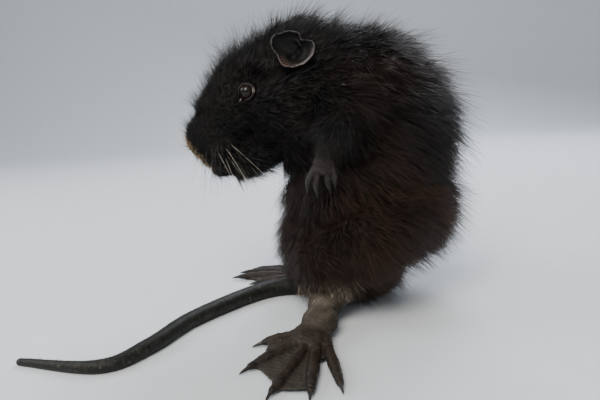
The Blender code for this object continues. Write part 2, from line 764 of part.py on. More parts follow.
def build():
    clear_scene()
    model = bpy.data.collections.new("nutria")
    bpy.context.scene.collection.children.link(model)
    smooth = fused_body()
    cut_floor(smooth)
    coarse = thinned(smooth, "coarse_body", BODY_FACES)
    fine = thinned(smooth, "fine_body", HEAD_FACES)
    bpy.data.objects.remove(smooth)

    made = {"ear_skin": [], "eye": [], "claw": [], "bare_skin": []}
    clear_body = grown(coarse, "clear_body", GAP * 1.2)
    for side in ("L", "R"):
        made["ear_skin"].append(ear(side))
        made["eye"].append(eye(side))
        paw, *fore_claws = forepaw(side, clear_body)
        foot, *hind_claws = hind_foot(side, clear_body)
        made["bare_skin"] += [paw, foot]
        made["claw"] += fore_claws + hind_claws
    made["tail_scale"] = tail(clear_body)

    body = divided_body(fine, coarse)
    bare = [surface_of(thing) for name in made for thing in made[name]]
    body = with_locks(body, coarse, bare)
    cut_floor(body)
    limbs = (THIGH_CUTTER, ARM_CUTTER)
    made["black_fur"] = [
        cut_region(copy_of(body, "head"), [(HEAD_PLANE, -1), (WAIST_PLANE, -1)]),
        cut_region(copy_of(body, "neck"), [(HEAD_PLANE, 1), (NECK_PLANE, -1), (WAIST_PLANE, -1)], limbs),
        cut_region(copy_of(body, "thorax"), [(NECK_PLANE, 1), (WAIST_PLANE, -1)], limbs),
        cut_region(copy_of(body, "abdomen"), [(WAIST_PLANE, 1)], limbs),
    ]
    for side in ("L", "R"):
        for name, spec in (("hind_leg_", THIGH_CUTTER), ("foreleg_", ARM_CUTTER)):
            limb = boolean(copy_of(body, name + side), "INTERSECT", [limb_cutter(spec, side, -GAP / 2)])
            made["black_fur"].append(keep_largest(limb))
    for name, things in made.items():
        finish(things, name, model)
    for helper in (coarse, fine, clear_body, body):
        bpy.data.objects.remove(helper)


if __name__ == "__main__":
    build()
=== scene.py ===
"""The looks of a young black nutria that sits on its haunches, as a still, life-size model.

It is laid out as a Blender add-on and is run as a script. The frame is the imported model, in metres, and the
tables below are in millimetres. The animal faces -X and its left side is towards -Y.
"""

import math
from collections import namedtuple

import bmesh
import bpy
import numpy as np
from bpy.props import FloatProperty, FloatVectorProperty, PointerProperty
from mathutils import Matrix, Vector
from mathutils.kdtree import KDTree


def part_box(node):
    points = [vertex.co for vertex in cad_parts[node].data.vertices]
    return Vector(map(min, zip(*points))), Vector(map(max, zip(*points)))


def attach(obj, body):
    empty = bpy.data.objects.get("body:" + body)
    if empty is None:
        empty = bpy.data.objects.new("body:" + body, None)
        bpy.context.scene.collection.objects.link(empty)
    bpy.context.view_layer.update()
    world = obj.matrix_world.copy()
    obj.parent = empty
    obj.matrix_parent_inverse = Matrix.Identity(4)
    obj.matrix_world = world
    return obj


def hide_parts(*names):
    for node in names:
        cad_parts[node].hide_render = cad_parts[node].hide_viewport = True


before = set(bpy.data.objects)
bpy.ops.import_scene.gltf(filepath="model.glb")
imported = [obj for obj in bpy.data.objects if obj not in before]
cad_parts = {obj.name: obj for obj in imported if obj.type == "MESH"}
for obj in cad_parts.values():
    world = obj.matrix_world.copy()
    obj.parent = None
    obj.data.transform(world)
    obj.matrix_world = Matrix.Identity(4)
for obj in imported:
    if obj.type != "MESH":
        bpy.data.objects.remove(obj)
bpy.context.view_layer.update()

bl_info = {
    "name": "Nutria model",
    "version": (1, 0, 0),
    "blender": (4, 5, 0),
    "location": "View3D > Sidebar > Nutria",
    "description": "Skin, coat, eyes, claws, whiskers and stage of a life-size nutria",
    "category": "Object",
}

MM = 0.001  # a millimetre, in metres
FLOOR_GAP = 0.2  # the least height of any skin or horn, in millimetres
SEED = 7
HEAD_PITCH = math.radians(35)  # how far the muzzle points down
HEAD = Matrix.Translation(Vector((-45, 0, 148)) * MM) @ Matrix.Rotation(-HEAD_PITCH, 4, "Y")

# Each form is a name, its centre, its three radii at the skin and its pitch in degrees, and then how long
# the hair on it is and how steeply it stands, in degrees.
TRUNK_FORMS = (
    ("seat", (-8, 0, 27), (24, 31, 27), 0, 7, 18),
    ("pelvis", (2.5, 0, 60), (43.5, 38, 36), 0, 13, 30),
    ("lap", (-24, 0, 38), (29, 34, 34), 0, 11, 28),
    ("belly", (-4, 0, 70), (43, 38, 40), 0, 16, 34),
    ("loin", (4, 0, 84), (38.5, 34, 28), 0, 15, 32),
    ("chest", (2, 0, 106), (43, 34, 42), 0, 18, 38),
    ("withers", (-1, 0, 131), (34, 29, 29), 0, 12.5, 36),
    ("scruff", (12, 0, 122), (28, 27, 27), 0, 16, 44),
    ("nape", (-24, 0, 137), (31, 25, 26), -20, 12, 46),
    ("throat", (-38, 0, 106), (18, 22, 26), 0, 11, 30),
)
# One side only. The other is its mirror image.
LIMB_FORMS = (
    ("thigh", (-6, -33, 46), (33, 16, 19), -36, 14, 32),
    ("shoulder", (-16, -28, 117), (18, 12, 20), 15, 13, 32),
    ("elbow", (-18, -37, 105), (10, 7, 10), 0, 14, 26),
)
LEG_FORMS = (
    ("knee", (-30, -36, 31), (16, 13, 17), 0, 8, 24),
    ("shank", (-27, -38, 18), (8.5, 10, 12), 0, 2.2, 9),
)
# In the head's own frame: it faces -X along the muzzle, and the origin lies between the ears.
HEAD_FORMS = (
    ("cranium", (1, 0, 1), (26, 24, 17.5), 0, 7, 34),
    ("brow", (-24, 0, 3.5), (28, 18, 18), 8, 12, 54),
    ("midface", (-42, 0, -3), (24.5, 16.5, 20), 6, 9.5, 50),
    ("muzzle", (-60, 0, -6.5), (19.5, 14, 16), 8, 5.8, 42),
    ("nose", (-70, 0, -6), (9.6, 9.5, 9), 0, 2.8, 32),
    ("upper_lip", (-67, 0, -15), (11.5, 10.5, 7.5), -12, 3.2, 28),
    ("lower_lip", (-66.8, 0, -23), (10.8, 9, 8.5), 0, 5, 34),
    ("jaw", (-44.5, 0, -28), (24, 14.5, 13.5), 4, 8.5, 34),
    ("chin", (-58, 0, -31), (10.5, 9, 9.5), 0, 7, 38),
    ("gullet", (-18, 0, -22), (26, 20, 18), 0, 10, 28),
)
# One side only, in the head's frame.
FACE_FORMS = (
    ("cheek", (-15, -13, -14), (25, 13, 16.5), 0, 8, 24),
    ("whisker_pad", (-60, -7.5, -13), (13, 7.5, 8.5), 0, 2.8, 20),
    ("eye_ring", (-29.5, -14.0, -0.5), (11, 7.5, 9), 0, 2.6, 16),
)
# The middle of the forearm from the elbow to the wrist, and its radii. The left one.
FOREARM = ((-18, -38, 112), (-24, -46, 105), (-28.8, -49, 98))
FOREARM_RADII = (10, 8.5, 5.0)

EYE_CENTRE = Vector((-29.1, -19.0, 0.3))
EYE_OUTWARD = Vector((-0.20, -0.97, 0.12)).normalized()
EYE_RADIUS = (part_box("eye_L")[1].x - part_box("eye_L")[0].x) / 2
NOSTRIL_CENTRE = (-78.6, -4.6, -5.5)
EAR_CENTRE = Vector((-42, -33, 152.4))
EAR_FACING = Vector((-0.22, -0.95, 0.20)).normalized()
EAR_LONG = 11.9
EAR_HIGH = 9.7

# The middle of the tail from its root, as places on the floor, and its radius at even steps.
TAIL_PATH = ((-36, 9), (-58, 9), (-73, 3), (-91, -13), (-112, -38), (-127, -67), (-147, -84), (-194, -70))
TAIL_RADII = (5.9, 5.6, 5.3, 5.0, 4.6, 4.2, 3.4, 1.8)
TAIL_RING = 1.15  # from one ring of scales to the next
TAIL_SCALES = 15  # in each ring

# The heel and sole as balls: along the foot, across it, the height, and three radii.
SOLE = ((4, 0, 8, 9, 7, 9), (16, 0, 10, 13, 9, 11), (30, 0, 8, 15, 10, 8), (43, 2.5, 5.4, 14, 11, 5.8))
# Hind toes from the inner one to the free outer one: root along and across, heading in degrees, and length.
HIND_TOES = (
    (38, 9.0, 65, 20), (48, 8.5, 37, 31), (52, 3.3, 11, 42), (52, -1.5, -6, 40), (45, -5.0, -18, 41),
)
# A toe's radius at shares of its length, with the first inside the foot.
TOE_STEPS = (-0.15, 0, 0.3, 0.6, 0.85, 1)
TOE_RADII = (3.4, 3.3, 2.7, 3.0, 2.4, 1.7)
# How far along the toes the skin between each two of them reaches.
WEB_REACH = (0.90, 0.94, 1.0, 0.40)
# Where each heel stands, the foot's heading in degrees, and how far its toes spread.
HIND_FEET = {"L": ((-30, -27), 78, 1.0), "R": ((4, 28), 14, 0.5)}
WRIST = (-28.8, -49, 97.8)
# The palm as balls: forward, outward and up from the wrist, and three radii.
PALM = ((0, 0, 0, 5.0, 4.2, 5.5), (-0.6, -0.4, -5, 5.6, 3.8, 5.0), (-1.2, -0.6, -8.5, 6.2, 3.0, 3.6))
# Three joints of each finger, forward and up from the wrist.
FORE_TOES = (
    ((-5.4, -8), (-9.0, -13.5), (-9.7, -17.5)),
    ((-3.2, -9), (-5.4, -15.5), (-5.0, -20.5)),
    ((0.6, -9), (0.8, -14.5), (1.6, -18.5)),
    ((3.6, -8), (4.5, -13.5), (4.8, -17.0)),
)
FINGER_RADII = (2.0, 1.8, 1.6, 1.75, 1.5, 1.4, 1.2)
# A place on the neck, and the way from it to the head.
HEAD_PLANE = (Vector((-36, 0, 131)), Vector((-0.957, 0, 0.288)))

SIDES = ("L", "R")
FLESH = ["abdomen", "thorax", "neck", "head", "tail_root", "tail_middle", "tail_end"]
PAIRED = ("hind_leg", "foreleg", "forepaw", "hind_foot", "ear")
FLESH += [part + "_" + side for part in PAIRED for side in SIDES]

# The voxels that melt each part, in millimetres.
TRUNK_VOXEL = 0.85
LEG_VOXEL = 0.55
HAND_VOXEL = 0.36
BEAD_VOXEL = 0.12
SKIN_SHARE = 0.42  # of the melted skin's triangles are kept
COAT_SURFACE_SHARE = 0.22  # of them are enough for the coat to grow from

# Colours that a user has no need to change.
CLAW_STREAK = "#37312c"
TEAR_DUCT = "#3b2a29"
LID_REAR_SPECKLE = "#988f8a"
EAR_WRINKLES = "#5f4a42"
# The painted highlight along the tops of the hind toes.
TOE_HIGHLIGHT_COLOUR = "#332a22"
NOSE_SKIN = "#1b1614"
DARK_WHISKER = "#2e231a"
TAIL_BRISTLE = "#2a241d"
# The iris from the pupil to its edge, by shares of the eye's radius.
IRIS_RINGS = ((0.0, "#040303"), (0.50, "#050404"), (0.60, "#1b110c"), (0.80, "#231610"), (0.95, "#100a08"))


# Small helpers.


def to_linear(code):
    """An sRGB hex value as linear red, green and blue."""
    parts = [int(code[i : i + 2], 16) / 255 for i in (1, 3, 5)]
    return tuple(c / 12.92 if c <= 0.04045 else ((c + 0.055) / 1.055) ** 2.4 for c in parts)


def ease(low, high, value):
    """Goes smoothly from 0 at low to 1 at high."""
    share = np.clip((value - low) / (high - low), 0, 1)
    return share * share * (3 - 2 * share)


def hump(value, middle, width):
    """A smooth bump that is 1 at the middle."""
    return np.exp(-(((value - middle) / width) ** 2))


def blend(first, second, share):
    """The first where share is 0, the second where it is 1, and a mixture between."""
    return first * (1 - share) + second * share


def unit(vectors):
    """Vectors made one long."""
    return vectors / np.maximum(np.linalg.norm(vectors, axis=-1, keepdims=True), 1e-9)


def wrapped(angle):
    """The same angle between minus and plus half a turn, in radians."""
    return (angle + math.pi) % (2 * math.pi) - math.pi


def round_angles(count):
    """Even steps once round, in radians."""
    return np.arange(count) * 2 * math.pi / count


def waves(points, size, number):
    """A smooth wandering value from about -1 to 1, over places in metres, with bumps of that size."""
    chance = np.random.default_rng(number)
    total = np.zeros(len(points))
    for _ in range(6):
        direction = chance.normal(size=3)
        direction *= 2 * math.pi / size / np.linalg.norm(direction) * chance.uniform(0.6, 1.4)
        total += np.sin(points @ direction + chance.uniform(0, 2 * math.pi))
    return total / 3.0


def on_side(point, side):
    """A place given for the left side, moved to the side asked for."""
    return Vector(point) if side == "L" else Vector((point[0], -point[1], point[2]))


def side_sign(side):
    return 1 if side == "L" else -1


def moved(points, matrix):
    matrix = np.array(matrix)
    return points @ matrix[:3, :3].T + matrix[:3, 3]


def head_places(points):
    """World places in the head's own frame, in millimetres."""
    return moved(points, HEAD.inverted()) / MM


def on_head(point, side):
    """A place in the head's frame, in millimetres, as a world place."""
    return np.array(HEAD @ (on_side(point, side) * MM))


def smooth_path(points, steps):
    """Points on a Catmull-Rom curve through the given ones."""
    points = [Vector(p) for p in points]
    ends = [points[0] * 2 - points[1], *points, points[-1] * 2 - points[-2]]
    made = []
    for i in range(len(points) - 1):
        a, b, c, d = ends[i : i + 4]
        for k in range(steps):
            t = k / steps
            curve = b * 2 + (c - a) * t + (a * 2 - b * 5 + c * 4 - d) * t**2 + (b * 3 - a - c * 3 + d) * t**3
            made.append(curve / 2)
    return [*made, points[-1]]


def values_between(values, share):
    """The value at a share of the way along a row of values."""
    place = min(max(share, 0.0), 1.0) * (len(values) - 1)
    near = min(int(place), len(values) - 2)
    return values[near] + (values[near + 1] - values[near]) * (place - near)


# Meshes.


def new_object(name, mesh):
    thing = bpy.data.objects.new(name, mesh)
    bpy.context.scene.collection.objects.link(thing)
    return thing


def from_bmesh(name, bm):
    mesh = bpy.data.meshes.new(name)
    bm.to_mesh(mesh)
    bm.free()
    return new_object(name, mesh)


def from_arrays(name, places, corners, counts):
    """A mesh from numpy arrays: places, the faces' corners in a row, and how many corners each face has."""
    mesh = bpy.data.meshes.new(name)
    mesh.vertices.add(len(places))
    mesh.vertices.foreach_set("co", places.astype(np.float32).ravel())
    mesh.loops.add(len(corners))
    mesh.loops.foreach_set("vertex_index", corners.astype(np.int32))
    mesh.polygons.add(len(counts))
    starts = np.concatenate(([0], np.cumsum(counts)[:-1]))
    mesh.polygons.foreach_set("loop_start", starts.astype(np.int32))
    mesh.polygons.foreach_set("use_smooth", np.ones(len(counts), bool))
    mesh.update(calc_edges=True)
    return new_object(name, mesh)


def values_of(rows, attribute, width, kind=np.float32):
    """One attribute of all rows of a mesh, as an array."""
    found = np.empty(len(rows) * width, kind)
    rows.foreach_get(attribute, found)
    return found.reshape(-1, width)


def places_of(mesh):
    return values_of(mesh.vertices, "co", 3).astype(float)


def normals_of(mesh):
    return values_of(mesh.vertex_normals, "vector", 3).astype(float)


def set_places(mesh, places):
    mesh.vertices.foreach_set("co", places.astype(np.float32).ravel())
    mesh.update()


def set_colours(mesh, colours):
    """Gives the mesh a colour for each vertex, linear."""
    layer = mesh.color_attributes.new("coat", "FLOAT_COLOR", "POINT")
    full = np.ones((len(colours), 4), np.float32)
    full[:, :3] = colours
    layer.data.foreach_set("color", full.ravel())


def apply_modifiers(thing):
    graph = bpy.context.evaluated_depsgraph_get()
    mesh = bpy.data.meshes.new_from_object(thing.evaluated_get(graph))
    thing.modifiers.clear()
    thing.data = mesh
    return thing


def thinned(thing, share):
    """The object with that share of its triangles kept."""
    fewer = thing.modifiers.new("Fewer", "DECIMATE")
    fewer.ratio = share
    return apply_modifiers(thing)


def add_smoothing(thing, rounds):
    smooth = thing.modifiers.new("Smooth", "SMOOTH")
    smooth.factor = 0.5
    smooth.iterations = rounds
    return smooth


def discard(thing):
    """Removes an object and its mesh."""
    mesh = thing.data
    bpy.data.objects.remove(thing)
    bpy.data.meshes.remove(mesh)


BALL = {}  # unit balls by their number of segments


def unit_ball(segments):
    """The vertices and faces of a ball of radius 1, kept for the next time."""
    if segments not in BALL:
        bm = bmesh.new()
        bmesh.ops.create_uvsphere(bm, u_segments=segments, v_segments=segments // 2, radius=1)
        places = np.array([v.co[:] for v in bm.verts])
        corners = np.array([v.index for f in bm.faces for v in f.verts])
        counts = np.array([len(f.verts) for f in bm.faces])
        bm.free()
        BALL[segments] = places, corners, counts
    return BALL[segments]


def ball(centre, radii, turn=None):
    """The matrix that makes the unit ball into one of a body's forms, all in millimetres."""
    return Matrix.Translation(centre) @ (turn or Matrix()) @ Matrix.Diagonal((*radii, 1))


def balls_of(forms, place, sides=("L",)):
    made = []
    for _, centre, radii, pitch, _, _ in forms:
        turn = place.to_3x3().to_4x4() @ Matrix.Rotation(math.radians(pitch), 4, "Y")
        made += [ball((place @ (on_side(centre, side) * MM)) / MM, radii, turn) for side in sides]
    return made


def chain_of(points, radii, step=1.0):
    """Balls close together along a path, which fuse into a tapering limb."""
    made = []
    for a, b, first, last in zip(points, points[1:], radii, radii[1:]):
        count = max(1, round((b - a).length / step))
        for k in range(count + 1):
            radius = first + (last - first) * k / count
            made.append(ball(a.lerp(b, k / count), (radius,) * 3))
    return made


def merged(parts):
    """Several sets of places, corners and counts as one."""
    shifts = np.cumsum([0] + [len(p[0]) for p in parts])
    places = np.concatenate([p[0] for p in parts])
    corners = np.concatenate([p[1] + shift for p, shift in zip(parts, shifts)])
    return places, corners, np.concatenate([p[2] for p in parts])


def tube(rings, closed=False):
    """Rings of places as a skin, either capped at both ends or closed round to its start."""
    rows, around = rings.shape[:2]
    i, k = np.meshgrid(np.arange(rows if closed else rows - 1), np.arange(around), indexing="ij")
    j, m = (i + 1) % rows, (k + 1) % around
    corners = np.stack([i * around + k, i * around + m, j * around + m, j * around + k], -1).ravel()
    counts = np.full(i.size, 4)
    if not closed:
        first, last = np.arange(around)[::-1], (rows - 1) * around + np.arange(around)
        corners = np.concatenate([corners, first, last])
        counts = np.concatenate([counts, [around, around]])
    return rings.reshape(-1, 3), corners, counts


def fused(name, balls, voxel, rounds, extra=(), segments=16):
    """Balls and other closed parts, in millimetres, melted into one smooth skin."""
    places, corners, counts = unit_ball(segments)
    matrices = np.array([list(map(list, m)) for m in balls])
    spread = np.einsum("nij,vj->nvi", matrices[:, :3, :3], places) + matrices[:, None, :3, 3]
    shift = np.arange(len(balls))[:, None] * len(places)
    many = spread.reshape(-1, 3), (corners[None] + shift).ravel(), np.tile(counts, len(balls))
    places, corners, counts = merged([many, *extra])
    thing = from_arrays(name, places * MM, corners, counts)
    melt = thing.modifiers.new("Melt", "REMESH")
    melt.mode = "VOXEL"
    melt.voxel_size = voxel * MM
    melt.use_smooth_shade = True
    add_smoothing(thing, rounds)
    return apply_modifiers(thing)


def join(things, name):
    """Several objects as one, with their materials kept apart."""
    target = things[0]
    with bpy.context.temp_override(active_object=target, object=target, selected_editable_objects=things):
        bpy.ops.object.join()
    target.name = name
    return target


# Materials.


def add_node(tree, kind, links=None, **settings):
    """Adds a node, sets its properties and sockets by name, and links its inputs to other nodes' outputs."""
    node = tree.nodes.new(kind)
    for name, value in settings.items():
        if hasattr(node, name):
            setattr(node, name, value)
        else:
            node.inputs[name.replace("_", " ")].default_value = value
    for socket, source in (links or {}).items():
        tree.links.new(source, node.inputs[socket])
    return node


def new_material(name, roughness=0.5, **sockets):
    """An empty material with its shader, and sockets that are the same all over."""
    made = bpy.data.materials.new(name)
    made.use_nodes = True
    shader = made.node_tree.nodes["Principled BSDF"]
    shader.inputs["Roughness"].default_value = roughness
    for socket, value in sockets.items():
        shader.inputs[socket.replace("_", " ")].default_value = value
    return made, made.node_tree, shader


def painted(tree, variation, scale):
    """The colour kept at the vertices with a faint mottle over it, and the place on the object."""
    colour = add_node(tree, "ShaderNodeVertexColor", layer_name="coat")
    where = add_node(tree, "ShaderNodeTexCoord").outputs["Object"]
    mottle = add_node(tree, "ShaderNodeTexNoise", {"Vector": where}, Scale=scale, Detail=4.0)
    level = add_node(
        tree, "ShaderNodeMapRange", {"Value": mottle.outputs["Fac"]},
        From_Min=0.3, From_Max=0.7, To_Min=1 - variation, To_Max=1 + variation,
    )
    links = {0: colour.outputs["Color"], "Scale": level.outputs["Result"]}
    return add_node(tree, "ShaderNodeVectorMath", links, operation="SCALE").outputs["Vector"], where


def fur_material():
    """Nutria guard hair and underfur: smooth keratin, black with a narrow grey gloss along each hair."""
    made, tree, shader = new_material("nutria_fur", 0.48, Specular_IOR_Level=0.34, IOR=1.55)
    colour, _ = painted(tree, 0.15, 240.0)
    tree.links.new(colour, shader.inputs["Base Color"])
    return made


def hide_material():
    """Haired hide, seen only where the coat parts: dark, dull and faintly grained."""
    made, tree, shader = new_material("haired_hide", 0.75, Specular_IOR_Level=0.25)
    colour, where = painted(tree, 0.25, 900.0)
    tree.links.new(colour, shader.inputs["Base Color"])
    grain = add_node(tree, "ShaderNodeTexNoise", {"Vector": where}, Scale=2200.0, Detail=3.0)
    bump = add_node(tree, "ShaderNodeBump", {"Height": grain.outputs["Fac"]}, Strength=0.5, Distance=0.0003)
    tree.links.new(bump.outputs["Normal"], shader.inputs["Normal"])
    return made


def bare_skin_material(name, roughness, cell, depth, wrinkle, shine):
    """Bare leathery skin: cells of about the size given in millimetres, and finer creases between them."""
    made, tree, shader = new_material(name, roughness, Specular_IOR_Level=shine)
    colour, where = painted(tree, 0.22, 420.0)
    cells = add_node(
        tree, "ShaderNodeTexVoronoi", {"Vector": where}, feature="DISTANCE_TO_EDGE", Scale=1 / (cell * MM)
    )
    edges = add_node(tree, "ShaderNodeMapRange", {"Value": cells.outputs["Distance"]}, From_Max=0.12)
    creases = add_node(tree, "ShaderNodeTexNoise", {"Vector": where}, Scale=1 / (wrinkle * MM), Detail=5.0)
    links = {0: creases.outputs["Fac"], 2: edges.outputs["Result"]}
    height = add_node(tree, "ShaderNodeMath", links, operation="MULTIPLY_ADD")
    height.inputs[1].default_value = 0.9
    links = {"Height": height.outputs["Value"]}
    bump = add_node(tree, "ShaderNodeBump", links, Strength=0.7, Distance=depth * MM)
    tree.links.new(bump.outputs["Normal"], shader.inputs["Normal"])
    # Painted shade: the colour darkened along the cell edges, in the creases.
    shade = add_node(tree, "ShaderNodeMapRange", {"Value": edges.outputs["Result"]}, To_Min=0.62)
    links = {0: colour, "Scale": shade.outputs["Result"]}
    dark = add_node(tree, "ShaderNodeVectorMath", links, operation="SCALE")
    tree.links.new(dark.outputs["Vector"], shader.inputs["Base Color"])
    return made


def eye_material(colours):
    """A wet eyeball: a dark brown iris round a black pupil under a clear, mirror-smooth cornea."""
    made, tree, shader = new_material(
        "eyeball", 0.3, Specular_IOR_Level=0.1, Coat_Weight=0.75, Coat_Roughness=0.02, Coat_IOR=1.36
    )
    where = add_node(tree, "ShaderNodeTexCoord").outputs["Object"]
    split = add_node(tree, "ShaderNodeSeparateXYZ", {"Vector": where})
    flat = add_node(tree, "ShaderNodeCombineXYZ", {"X": split.outputs["X"], "Y": split.outputs["Y"]})
    reach = add_node(tree, "ShaderNodeVectorMath", {0: flat.outputs["Vector"]}, operation="LENGTH")
    fibres = add_node(tree, "ShaderNodeTexNoise", {"Vector": where}, Scale=1400.0, Detail=3.0)
    links = {0: fibres.outputs["Fac"], 2: reach.outputs["Value"]}
    wander = add_node(tree, "ShaderNodeMath", links, operation="MULTIPLY_ADD")
    wander.inputs[1].default_value = 0.0007
    spread = add_node(tree, "ShaderNodeMapRange", {"Value": wander.outputs["Value"]}, From_Max=EYE_RADIUS)
    rings = add_node(tree, "ShaderNodeValToRGB", {"Fac": spread.outputs["Result"]})
    ramp = rings.color_ramp
    while len(ramp.elements) < len(IRIS_RINGS):
        ramp.elements.new(0.5)
    for element, (place, code) in zip(ramp.elements, IRIS_RINGS):
        element.position = place
        element.color = (*to_linear(code), 1)
    tint = add_node(tree, "ShaderNodeMix", {6: rings.outputs["Color"]}, data_type="RGBA")
    tint.inputs["Factor"].default_value = 0.15
    tint.inputs[7].default_value = (*colours.iris, 1)
    tree.links.new(tint.outputs[2], shader.inputs["Base Color"])
    return made


def claw_material(colours):
    """Horn that has worn smooth: near black, streaked along the claw, with a soft shine."""
    made, tree, shader = new_material("claw_horn", 0.34, Specular_IOR_Level=0.32, IOR=1.54)
    where = add_node(tree, "ShaderNodeTexCoord").outputs["Object"]
    streak = add_node(tree, "ShaderNodeTexNoise", {"Vector": where}, Scale=900.0, Detail=3.0)
    ramp = add_node(tree, "ShaderNodeValToRGB", {"Fac": streak.outputs["Fac"]})
    looks = ((0.35, colours.claw), (0.75, to_linear(CLAW_STREAK)))
    for element, (place, colour) in zip(ramp.color_ramp.elements, looks):
        element.position = place
        element.color = (*colour, 1)
    tree.links.new(ramp.outputs["Color"], shader.inputs["Base Color"])
    bump = add_node(tree, "ShaderNodeBump", {"Height": streak.outputs["Fac"]}, Strength=0.3, Distance=0.0002)
    tree.links.new(bump.outputs["Normal"], shader.inputs["Normal"])
    return made


# The lie, length and colour of the coat.


def foot_place(side):
    """Where a hind foot's heel stands and the way the foot points."""
    (x, y), heading, _ = HIND_FEET[side]
    turn = Matrix.Rotation(math.radians(heading) * side_sign(side), 4, "Z")
    return Matrix.Translation((x, y, 0)) @ turn @ Matrix.Diagonal((1, side_sign(side), 1, 1))


def form_arrays():
    """Every form's centre, turn, radii, hair length and hair lift, in the world's frame, in millimetres."""
    rows = []
    for forms, place, sides in (
        (TRUNK_FORMS, Matrix(), ("L",)),
        (LIMB_FORMS + LEG_FORMS, Matrix(), SIDES),
        (HEAD_FORMS, HEAD, ("L",)),
        (FACE_FORMS, HEAD, SIDES),
    ):
        for _, centre, radii, pitch, length, lift in forms:
            turn = place.to_3x3() @ Matrix.Rotation(math.radians(pitch), 3, "Y")
            for side in sides:
                middle = (place @ (on_side(centre, side) * MM)) / MM
                rows.append((middle, turn, radii, (length, lift)))
    for side in SIDES:
        for share in (0.0, 0.35, 0.7, 1.0):
            middle = values_between([on_side(p, side) for p in FOREARM], share)
            radius = values_between(FOREARM_RADII, share)
            rows.append((middle, Matrix.Identity(3), (radius,) * 3, (12 - 7.5 * share, 24 - 10 * share)))
        for x, y, z, *radii in PALM:
            middle = on_side(WRIST, side) + Vector((x, side_sign(side) * y, z))
            rows.append((middle, Matrix.Identity(3), radii, (3.0, 12)))
        for along, across, height, *radii in SOLE:
            middle = foot_place(side) @ Vector((-along, across, height))
            rows.append((middle, foot_place(side).to_3x3(), radii, (1.9, 8)))
    return [np.array([list(map(list, r[i])) if i == 1 else list(r[i]) for r in rows]) for i in range(4)]


FORMS = form_arrays()
CHUNK = 20000  # places looked up in one go, to spare memory


def coat_values(points):
    """The hair's length in metres and lift in radians at each place, blended from the nearest forms."""
    centres, turns, radii, values = FORMS
    made = np.empty((len(points), 2))
    for start in range(0, len(points), CHUNK):
        part = points[start : start + CHUNK] / MM
        local = np.einsum("nfi,fij->nfj", part[:, None] - centres[None], turns) / radii[None]
        away = np.linalg.norm(local, axis=2)
        weight = np.exp(-7 * (away - away.min(1, keepdims=True)))
        made[start : start + CHUNK] = (weight @ values) / weight.sum(1, keepdims=True)
    return made[:, 0] * MM, np.radians(made[:, 1])


def head_share(points):
    """1 on the head, 0 on the trunk, and between them on the neck."""
    middle, forwards = HEAD_PLANE
    ahead = (points / MM - np.array(middle)) @ np.array(forwards.normalized())
    return ease(-22, 4, ahead) * ease(68, 88, points[:, 2] / MM)


def swung(lies, normals, angle):
    """The lies turned about the normals by an angle for each."""
    angle = angle[:, None]
    return unit(lies * np.cos(angle) + np.cross(normals, lies) * np.sin(angle))


def lie_of_coat(points, normals):
    """The way the hair points: back from the nose, down and back on the trunk, and down each limb."""
    head = head_share(points)[:, None]
    local = head_places(points)
    low = ease(0, 22, -local[:, 2])[:, None]
    head_lie = blend(np.array([1, 0, 0.05]), np.array([0.86, 0, -0.5]), low) @ np.array(HEAD.to_3x3()).T
    front = ease(0.1, 0.8, -normals[:, 0])[:, None]
    trunk_lie = blend(np.array([0.75, 0, -0.66]), np.array([0.15, 0, -0.98]), front)
    lie = blend(trunk_lie, head_lie, head)
    out = np.sign(points[:, 1])
    away = np.abs(points[:, 1]) / MM
    height = points[:, 2] / MM
    arm = ease(40, 47, away) * ease(86, 92, height) * (1 - ease(118, 128, height))
    down_arm = np.stack([-0.35 + 0 * away, 0.25 * out, -0.9 + 0 * away], 1)
    lie = blend(lie, down_arm, arm[:, None])
    lie[:, 1] += 0.12 * out * (1 - arm)
    ankle = ankle_share(points)[:, None]
    for side in SIDES:
        heading = math.radians(HIND_FEET[side][1])
        down_leg = np.array([-0.6 * math.cos(heading), -0.6 * math.sin(heading) * side_sign(side), -0.8])
        lie = blend(lie, down_leg, ankle * (points[:, 1:2] * side_sign(side) < 0))
    for side in SIDES:
        off = points - on_head(EYE_CENTRE, side)
        lie += unit(off) * 1.6 * hump(np.linalg.norm(off, axis=1), 0.0055, 0.0030)[:, None]
    lie = unit(lie - normals * (lie * normals).sum(1, keepdims=True))
    swirl = 0.30 * waves(points, 0.022, 3) + 0.20 * waves(points, 0.009, 4)
    return swung(lie, normals, swirl * (1 - 0.6 * head[:, 0]))


def ankle_share(points):
    """1 on the lower hind legs, 0 elsewhere."""
    low = 1 - ease(20, 32, points[:, 2] / MM)
    return low * ease(24, 30, np.abs(points[:, 1]) / MM) * (1 - ease(-18, -10, points[:, 0] / MM))


def markings(points, colours):
    """The coat's colour: black, brown low down, pale round the lips and nostrils and on the ankles, with
    painted shade darkening the ankles towards the floor.
    """
    local = head_places(points)
    height = points[:, 2] / MM
    wide = np.abs(points[:, 1]) / MM
    black = np.array(colours.fur)
    low = 1 - ease(70, 125, height)
    tint = np.clip(0.15 + 0.55 * low + 0.25 * waves(points, 0.035, 5), 0, 1)[:, None]
    made = blend(black, np.array(colours.fur_brown), tint)
    made = blend(made, black, head_share(points)[:, None])
    high = ease(-25, -20, local[:, 2]) * (1 - ease(2, 7, local[:, 2]))
    pale = ease(72.0, 77.0, -local[:, 0] - 0.10 * np.abs(local[:, 2] + 10)) * high
    pale = ease(0.3, 0.85, pale * (0.8 + 1.0 * waves(points, 0.0016, 6)))[:, None]
    made = blend(made, np.array(colours.muzzle), pale)
    ankle = (ankle_share(points) * (0.72 + 0.28 * waves(points, 0.007, 9)))[:, None].clip(0, 1)
    # Painted shade: the ankle hair darker towards the floor.
    ankle_floor_shade = (0.35 + 0.65 * ease(8, 20, height))[:, None]
    made = blend(made, np.array(colours.ankle) * ankle_floor_shade, ankle)
    sleeve = 0.8 * ease(44, 48, wide) * ease(76, 82, height) * (1 - ease(92, 104, height))
    return blend(made, np.array(colours.wrist), sleeve[:, None])


# Tufts of hair.


